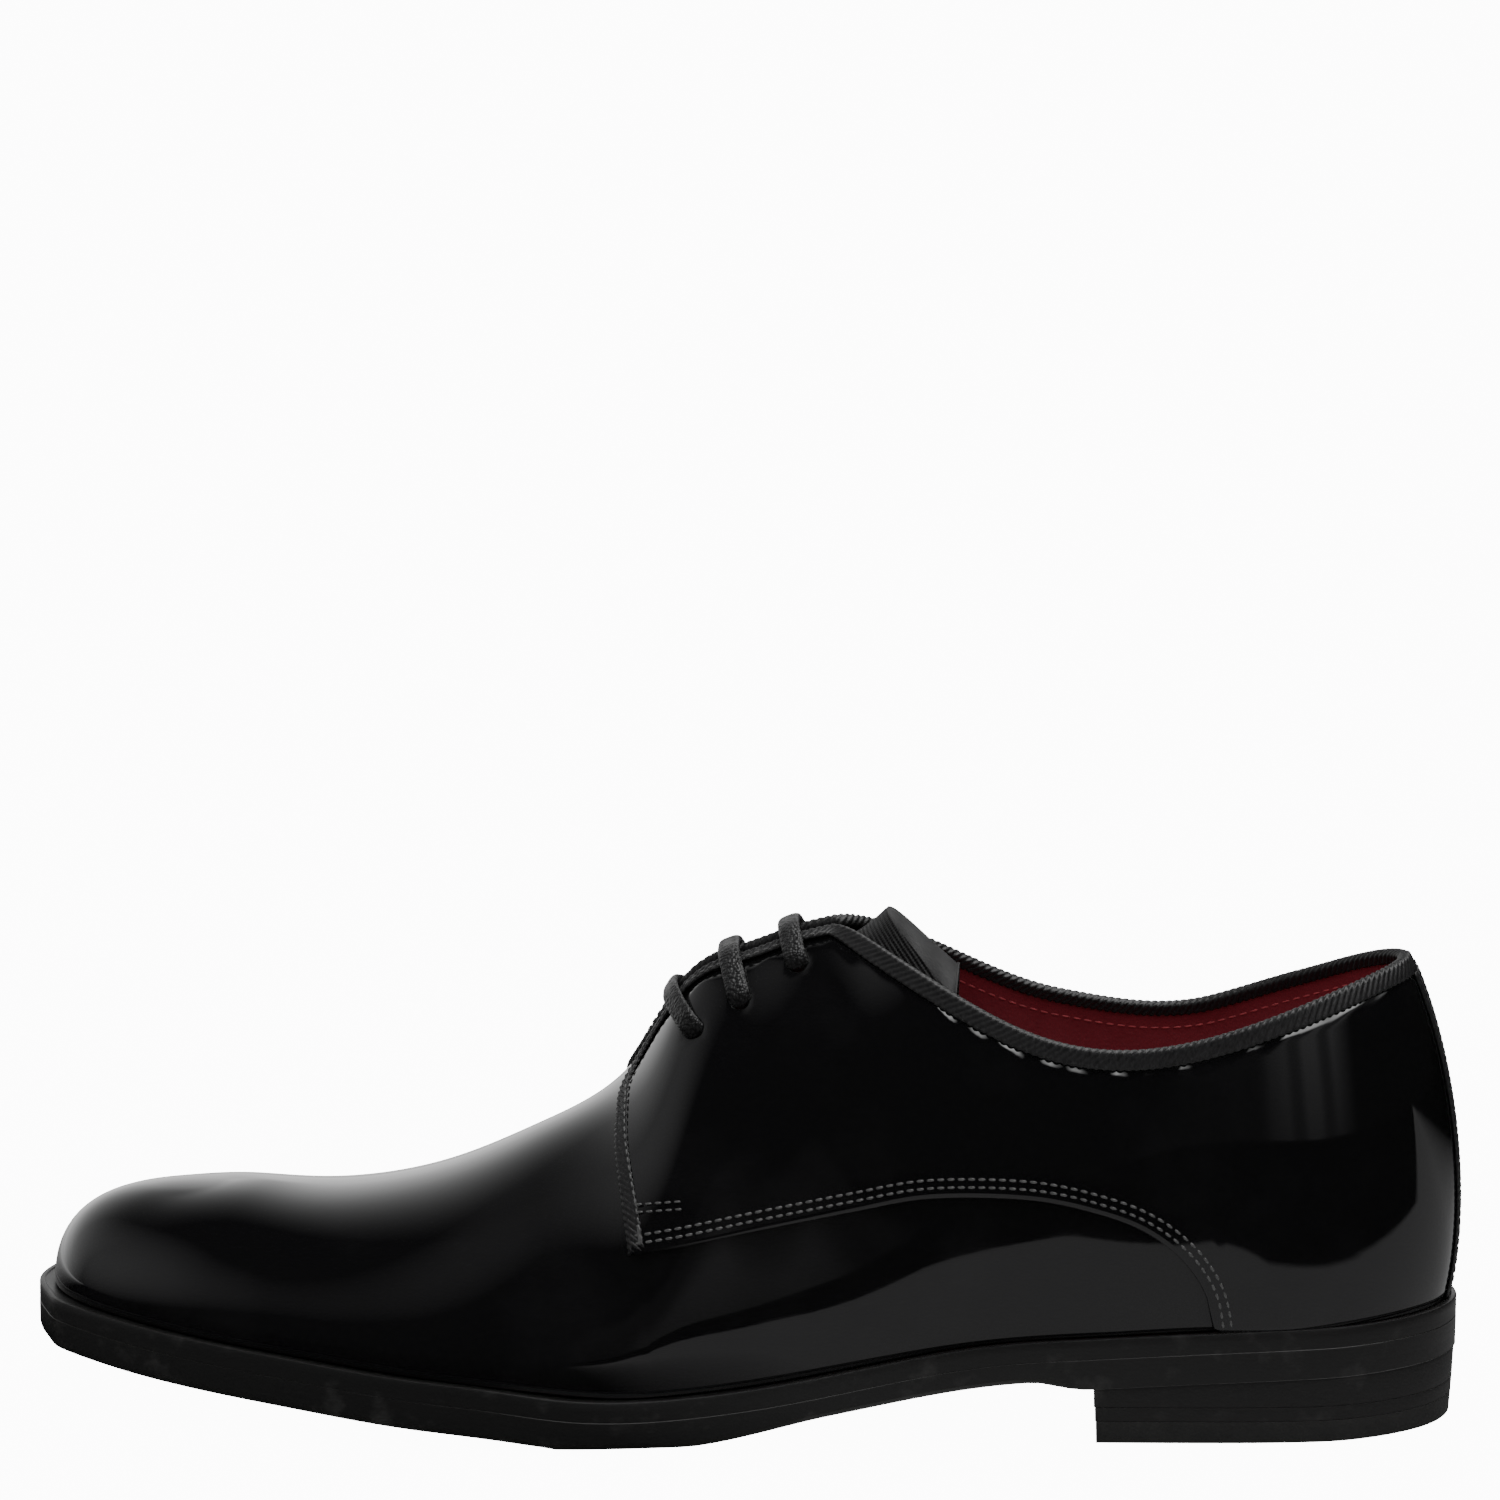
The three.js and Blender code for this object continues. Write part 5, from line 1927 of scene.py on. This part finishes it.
                shape = (shape[0], [f[::-1] for f in shape[1]])
            self.piece(f"lace_{side.word}_aglet", shape, "aglet_plastic", [f"{side.word}_aglet"])
        for side in Side:
            for i in range(len(EYELETS_AT)):
                self.eyelet(side, i)

    def eyelet(self, side: Side, i: int) -> None:
        """One blind eyelet, its flange against the lining.

        Args:
            side: Which side.
            i: Which eyelet.
        """
        point, normal = self.places[side][0][i], self.places[side][1][i]
        across = unit(np.cross(normal, (1.0, 0, 0)))
        forth = np.cross(normal, across)
        low = self.upper.layers.lining_edge[0]
        profile_points = [
            (2.05, low - 0.1), (2.15, low - 0.35), (2.5, low - 0.5), (3.4, low - 0.42), (3.7, low - 0.2),
            (3.5, low - 0.08), (2.45, low - 0.05), (2.38, low + 0.3), (2.35, 0.5), (2.2, 0.62), (2.05, 0.5),
        ]
        a = np.linspace(0, 2 * math.pi, 32, endpoint=False)
        rows = [point + normal * z + r * (across * np.cos(t) + forth * np.sin(t)) for t in a for r, z in profile_points]
        faces = grid_faces(32, len(profile_points), close_rows=True, close_columns=True)
        name = f"eyelet_{side.word}_{i + 1}"
        self.piece(name, (np.array(rows), faces), "eyelet_brass", [f"{side.word}_eyelet_{i + 1}"])


class Bottom(Maker):
    """Welt, outsole, heel and insole: loops of the sole's outline stacked at changing heights."""

    stations = 150

    def loop(self, inset: float | Callable, height: Callable, start: float | None = None) -> Array:
        """One closed line round the sole.

        Args:
            inset: Distance inside the outline.
            height: Z as a function of X.
            start: X of the heel's breast, where the line is cut off, or None for the whole sole.

        Returns:
            Its points.
        """
        line = self.form.outline(inset, 40)
        toe = 40 * (len(self.form.lateral_marks) - 1)
        lateral, medial = line[: toe + 1], np.concatenate([line[toe:], line[:1]])[::-1]
        high = line[:, 0].max()
        low = line[:, 0].min() if start is None else start
        turn = np.linspace(0, math.pi if start is None else math.pi / 2, self.stations)
        x = high - (high - low) * (1 - np.cos(turn)) / (2 if start is None else 1)
        ys = [np.interp(x, half[::-1, 0], half[::-1, 1]) for half in (lateral, medial)]
        z = height(x)
        one = np.stack([x, ys[0], z], 1)
        two = np.stack([x, ys[1], z], 1)
        return np.concatenate([one, two[::-1][1:-1] if start is None else two[::-1][:-1]])

    def caps(self, count: int, offset: int, whole: bool) -> list[list[int]]:
        """Faces that close a loop across the sole, seen from above.

        Args:
            count: Points in the loop.
            offset: Index of its first point.
            whole: Whether the loop goes round the whole sole.

        Returns:
            The faces.
        """
        n = self.stations
        out = []
        for k in range(n - 1):
            face = [k, k + 1]
            back = [(count - k - 1) % count, count - k] if k else [count - 1]
            if whole and k == n - 2:
                back = [count - k]
            face += back
            out.append([offset + i % count for i in face])
        return out

    def stack(self, loops: Sequence[Array], whole: bool = True, ring: bool = False) -> tuple[Array, list]:
        """A solid from loops listed from below, up the outside.

        Args:
            loops: The loops.
            whole: Whether they go round the whole sole.
            ring: Whether the last joins the first, leaving the middle open.

        Returns:
            Points and faces.
        """
        count = len(loops[0])
        faces = [f for f in grid_faces(len(loops), count, close_rows=ring, close_columns=True)]
        if not ring:
            faces += self.caps(count, 0, whole)
            faces += [f[::-1] for f in self.caps(count, (len(loops) - 1) * count, whole)]
        return np.concatenate(loops), faces

    def piece(self, name: str, shape: tuple[Array, list], finish: str, nodes: Sequence[str] = ()) -> bpy.types.Object:
        """Makes a piece whose corners are shaded crisp.

        Args:
            name: Its name.
            shape: Points in millimetres before the frame's shift, and faces.
            finish: Its material.
            nodes: CAD nodes that it stands for.

        Returns:
            The object.
        """
        made = super().piece(name, shape, finish, nodes)
        made.data.set_sharp_from_angle(angle=math.radians(32))
        return made

    def build(self) -> None:
        """Builds the pieces of the bottom."""
        form, s = self.form, self.form.sizes
        top = form.welt_top
        under = lambda x: top(x) - s.welt - s.gap
        flat_from, flat_to = form.flat
        pared = lambda x: smooth(x, flat_to, 20) * (1 - smooth(x, s.breast_x - 12, s.breast_x - 3))
        thick = lambda x: s.outsole + (s.waist_outsole - s.outsole) * pared(x)
        base = lambda x: np.where((x > flat_from) & (x < flat_to), 0.0, np.maximum(under(x) - thick(x), 0))
        waist = lambda x: smooth(x, -8, 18) * (1 - smooth(x, s.breast_x - 14, s.breast_x - 4))
        welt = [
            (0.1, lambda x: under(x) + 0.03), (0.04, lambda x: under(x) + 0.08), (0.03, lambda x: under(x) + 0.3),
            (0.02, lambda x: top(x) - 2.0), (0.04, lambda x: top(x) - 0.5), (0.2, lambda x: top(x) - 0.16),
            (0.5, lambda x: top(x) - 0.03), (1.1, lambda x: top(x) - 0.06), (1.35, lambda x: top(x) - 0.3),
            (1.8, lambda x: top(x) - 0.36),
            (5.6, lambda x: top(x) - 0.4), (6.4, lambda x: top(x) - 0.6), (6.6, lambda x: under(x) + 0.3),
        ]
        loops = [self.loop(lambda x, i=i: i + 0 * x, z) for i, z in welt]
        self.piece("bottom_welt", self.stack(loops, ring=True), "sole_edge", ["welt"])
        free = lambda x: 1 - smooth(x, s.breast_x - 5, s.breast_x)
        sole = [
            (lambda x: 3.2 * free(x) + 1.6 * waist(x), base),
            (lambda x: 1.5 * free(x) + 1.7 * waist(x), lambda x: base(x) + 0.03 * free(x)),
            (lambda x: 0.7 * free(x) + 1.4 * waist(x), lambda x: base(x) + 0.02 + 0.26 * free(x)),
            (lambda x: 0.05 + 0.25 * free(x) + 0.8 * waist(x), lambda x: base(x) + 0.06 + 0.74 * free(x)),
            (lambda x: 0.03 + 0.03 * free(x) + 0.3 * waist(x), lambda x: base(x) + 0.3 + 1.3 * free(x)),
            (lambda x: 0 * x, lambda x: under(x) - 1.2),
            (lambda x: 0.01 + 0 * x, lambda x: under(x) - 0.1), (lambda x: 0.1 + 0 * x, lambda x: under(x) + 0.02),
            (lambda x: 1.2 + 0 * x, lambda x: under(x) + 0.04),
        ]
        loops = [self.loop(i, z) for i, z in sole]
        self.piece("bottom_outsole", self.stack(loops), "sole_edge", ["outsole"])
        lower_top = s.top_piece + s.gap + s.lower_lift
        seat = lambda x: base(x) - 0.03
        level = lambda z: lambda x: z + 0 * x
        tiers = [
            ("bottom_upper_lift", "heel_upper_lift", 0, level(lower_top + 0.05), seat, "heel_leather"),
            ("bottom_lower_lift", "heel_lower_lift", 1, level(s.top_piece + 0.05), level(lower_top), "heel_leather"),
            ("bottom_top_piece", "top_piece", 2, level(0), level(s.top_piece), "top_rubber"),
        ]
        for name, node, layer, low, high, finish in tiers:
            start = s.breast_x + 0.5 + 0.3 * layer
            steps = [(0.08, 0.0), (0.02, 0.03), (0.0, 0.08), (0.0, -0.08), (0.02, -0.03), (0.08, 0.0)]
            loops = []
            for k, (more, lift) in enumerate(steps):
                edge = low if k < 3 else high
                inset = 0.02 + 0.06 * (16 - float(edge(np.array(s.breast_x))))
                loops.append(self.loop(inset + more, lambda x, e=edge, l=lift: e(x) + l, start + more))
            self.piece(name, self.stack(loops, whole=False), finish, [node])
        inner = lambda x: form.welt_show(x) + 4.7
        board_top = lambda x: top(x) + 1.0
        board = [(0.3, -2.4), (0.0, -2.1), (0.0, -0.3), (0.3, 0.0)]
        loops = [self.loop(lambda x, m=m: inner(x) + m, lambda x, z=z: board_top(x) + z) for m, z in board]
        self.piece("bottom_insole", self.stack(loops), "board", ["insole_board"])
        sock = [(0.7, 0.1), (0.2, 0.3), (0.1, 0.9), (0.5, 1.3), (1.4, 1.4)]
        loops = [self.loop(lambda x, m=m: inner(x) - 1.2 + m, lambda x, z=z: board_top(x) + z) for m, z in sock]
        self.piece("inside_sock", self.stack(loops), "lining_leather", ["sock_liner"])


class Carried(Maker):
    """CAD nodes that keep their own shape and get their finish here."""

    nodes = {
        "shank": "shank_steel", "cork_filler": "cork",
        **{f"heel_nail_{i}": "nail_steel" for i in range(1, 6)},
    }

    def build(self) -> None:
        """Dresses them."""
        for node, finish in self.nodes.items():
            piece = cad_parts[node]
            piece.data.materials.clear()
            piece.data.materials.append(self.finishes.by_name[finish])
            log.info("%s: %s", node, finish)


@dataclass
class Studio:
    """Floor, light and camera."""

    form: Form
    azimuth: float = math.radians(3.0)
    elevation: float = math.radians(15.5)
    distance: float = 1.2
    focal: float = 5870 / 1500 * 36
    below: float = math.atan(430 / 5870)
    roll: float = math.radians(0.6)
    aim_height: float = 0.045
    white: float = 16.0

    def camera(self) -> None:
        """Sets up the camera."""
        data = bpy.data.cameras.new("camera")
        data.lens, data.sensor_width = self.focal, 36
        made = bpy.data.objects.new("camera", data)
        bpy.context.scene.collection.objects.link(made)
        a, d = self.azimuth, self.distance
        height = d * math.tan(self.elevation)
        x, y = self.form.shift[0] * MM, self.form.shift[1] * MM
        made.location = (math.sin(a) * d + x, -math.cos(a) * d + y, height)
        pitch = math.atan2(height - self.aim_height, d) - self.below
        forward = Vector((-math.sin(a) * math.cos(pitch), math.cos(a) * math.cos(pitch), -math.sin(pitch)))
        turn = forward.to_track_quat("-Z", "Y").to_matrix() @ Matrix.Rotation(self.roll, 3, "Z")
        made.rotation_euler = turn.to_euler()
        bpy.context.scene.camera = made

    def floor(self) -> None:
        """A pale floor that runs out of sight; in reflections only part of it is lit."""
        size = 40.0
        points = np.array([(-size, -size, 0), (size, -size, 0), (size, size, 0), (-size, size, 0)], float)
        made = mesh_object("floor", points - (0, 0, 0.0002), [[0, 1, 2, 3]])
        s = Shader("floor")
        x, y = s.axis("X"), s.axis("Y")
        behind = s.step(y, 0.03, 0.35) * s.step(x, 0.3, 0.0)
        edge = s.step(x, 0.14, 0.07) * 0.2 - s.step(x, 0.14, 0.24) * 0.06 - s.step(x, 0.25, 0.4) * 0.08
        front = s.step(x, -0.02, 0.03) * s.step(y + edge, -0.17, -0.155) * s.step(y, 0.3, 0.1) * 0.26
        seen = s.node("ShaderNodeEmission", {}, {"Color": (1, 1, 1, 1), "Strength": self.white})
        lit = s.node("ShaderNodeBsdfDiffuse", {}, {"Color": (0.9, 0.9, 0.9, 1)})
        mirrored = s.node("ShaderNodeEmission", {}, {"Color": (1, 1, 1, 1), "Strength": behind * 0.8 + front})
        glossy = s.node("ShaderNodeLightPath", {}, {}, "Is Glossy Ray")
        camera = s.node("ShaderNodeLightPath", {}, {}, "Is Camera Ray")
        plain = s.node("ShaderNodeMixShader", {}, {0: 0.25, 1: seen, 2: lit})
        other = s.node("ShaderNodeMixShader", {}, {0: glossy, 1: lit, 2: mirrored})
        s.finish(s.node("ShaderNodeMixShader", {}, {0: camera, 1: other, 2: plain}))
        made.data.materials.append(s.material)

    def area(self, name: str, at: tuple, towards: tuple, size: tuple, power: float, mirrored: bool) -> None:
        """Adds one soft light.

        Args:
            name: Its name.
            at: Its place.
            towards: What it points at.
            size: Width and height.
            power: Watts.
            mirrored: Whether glossy surfaces show it.
        """
        data = bpy.data.lights.new(name, "AREA")
        data.shape, data.size, data.size_y, data.energy = "RECTANGLE", *size, power
        made = bpy.data.objects.new(name, data)
        made.location = at
        made.rotation_euler = (Vector(towards) - Vector(at)).to_track_quat("-Z", "Y").to_euler()
        made.visible_glossy = mirrored
        bpy.context.scene.collection.objects.link(made)

    def world(self) -> None:
        """White to the eye, even for matt surfaces, and for glossy ones a glow behind the shoe."""
        world = bpy.data.worlds.new("studio")
        world.use_nodes = True
        tree = world.node_tree
        back = tree.nodes["Background"]
        back.inputs["Color"].default_value = (1, 1, 1, 1)
        s = Shader.inside(tree)
        x, y, z = (s.axis(a) for a in "XYZ")
        glow = s.step(y, 0.08, 0.85) * s.step(z, 0.86, 0.2) * s.step(x, 0.45, 0.05) * 1.1
        over = s.step(x * -0.82 + y * -0.1 + z * 0.56, 0.78, 1.0) * 0.26
        panel = s.step(x, 0.0, 0.12) * s.step(z, 0.64, 0.76) * 3.6
        bars = s.step((x * 26 + z * 3).sine(), -0.9, 0.3)
        panes = s.step(x, 0.05, 0.4) * s.step(x, 0.84, 0.7) * s.step(z, -0.22, 0.25)
        panes = panes * s.step(y, 0.0, -0.2) * (bars * 0.14 + 0.1)
        glossy = s.node("ShaderNodeLightPath", {}, {}, "Is Glossy Ray")
        camera = s.node("ShaderNodeLightPath", {}, {}, "Is Camera Ray")
        even = (1 - glossy) * 0.9 + glossy * (glow + over + panel + panes + 0.004)
        s.feed(back.inputs["Strength"], even * (1 - camera) + camera * self.white)
        bpy.context.scene.world = world

    def build(self) -> None:
        """Builds the studio."""
        self.camera()
        self.floor()
        self.world()
        self.area("overhead", (-0.25, 0.1, 1.1), (-0.05, 0, 0), (0.9, 0.6), 8, False)


def main() -> None:
    """Builds the shoe and the studio."""
    logging.basicConfig(level=logging.INFO, format="%(name)s %(message)s")
    form = Form(Sizes())
    Studio(form).build()
    finishes = Finishes()
    upper = Upper(form, finishes, Layers())
    upper.build()
    Tongue(form, finishes).build()
    Lacing(form, finishes, upper).build()
    Bottom(form, finishes).build()
    Carried(form, finishes).build()


if __name__ == "__main__":
    main()
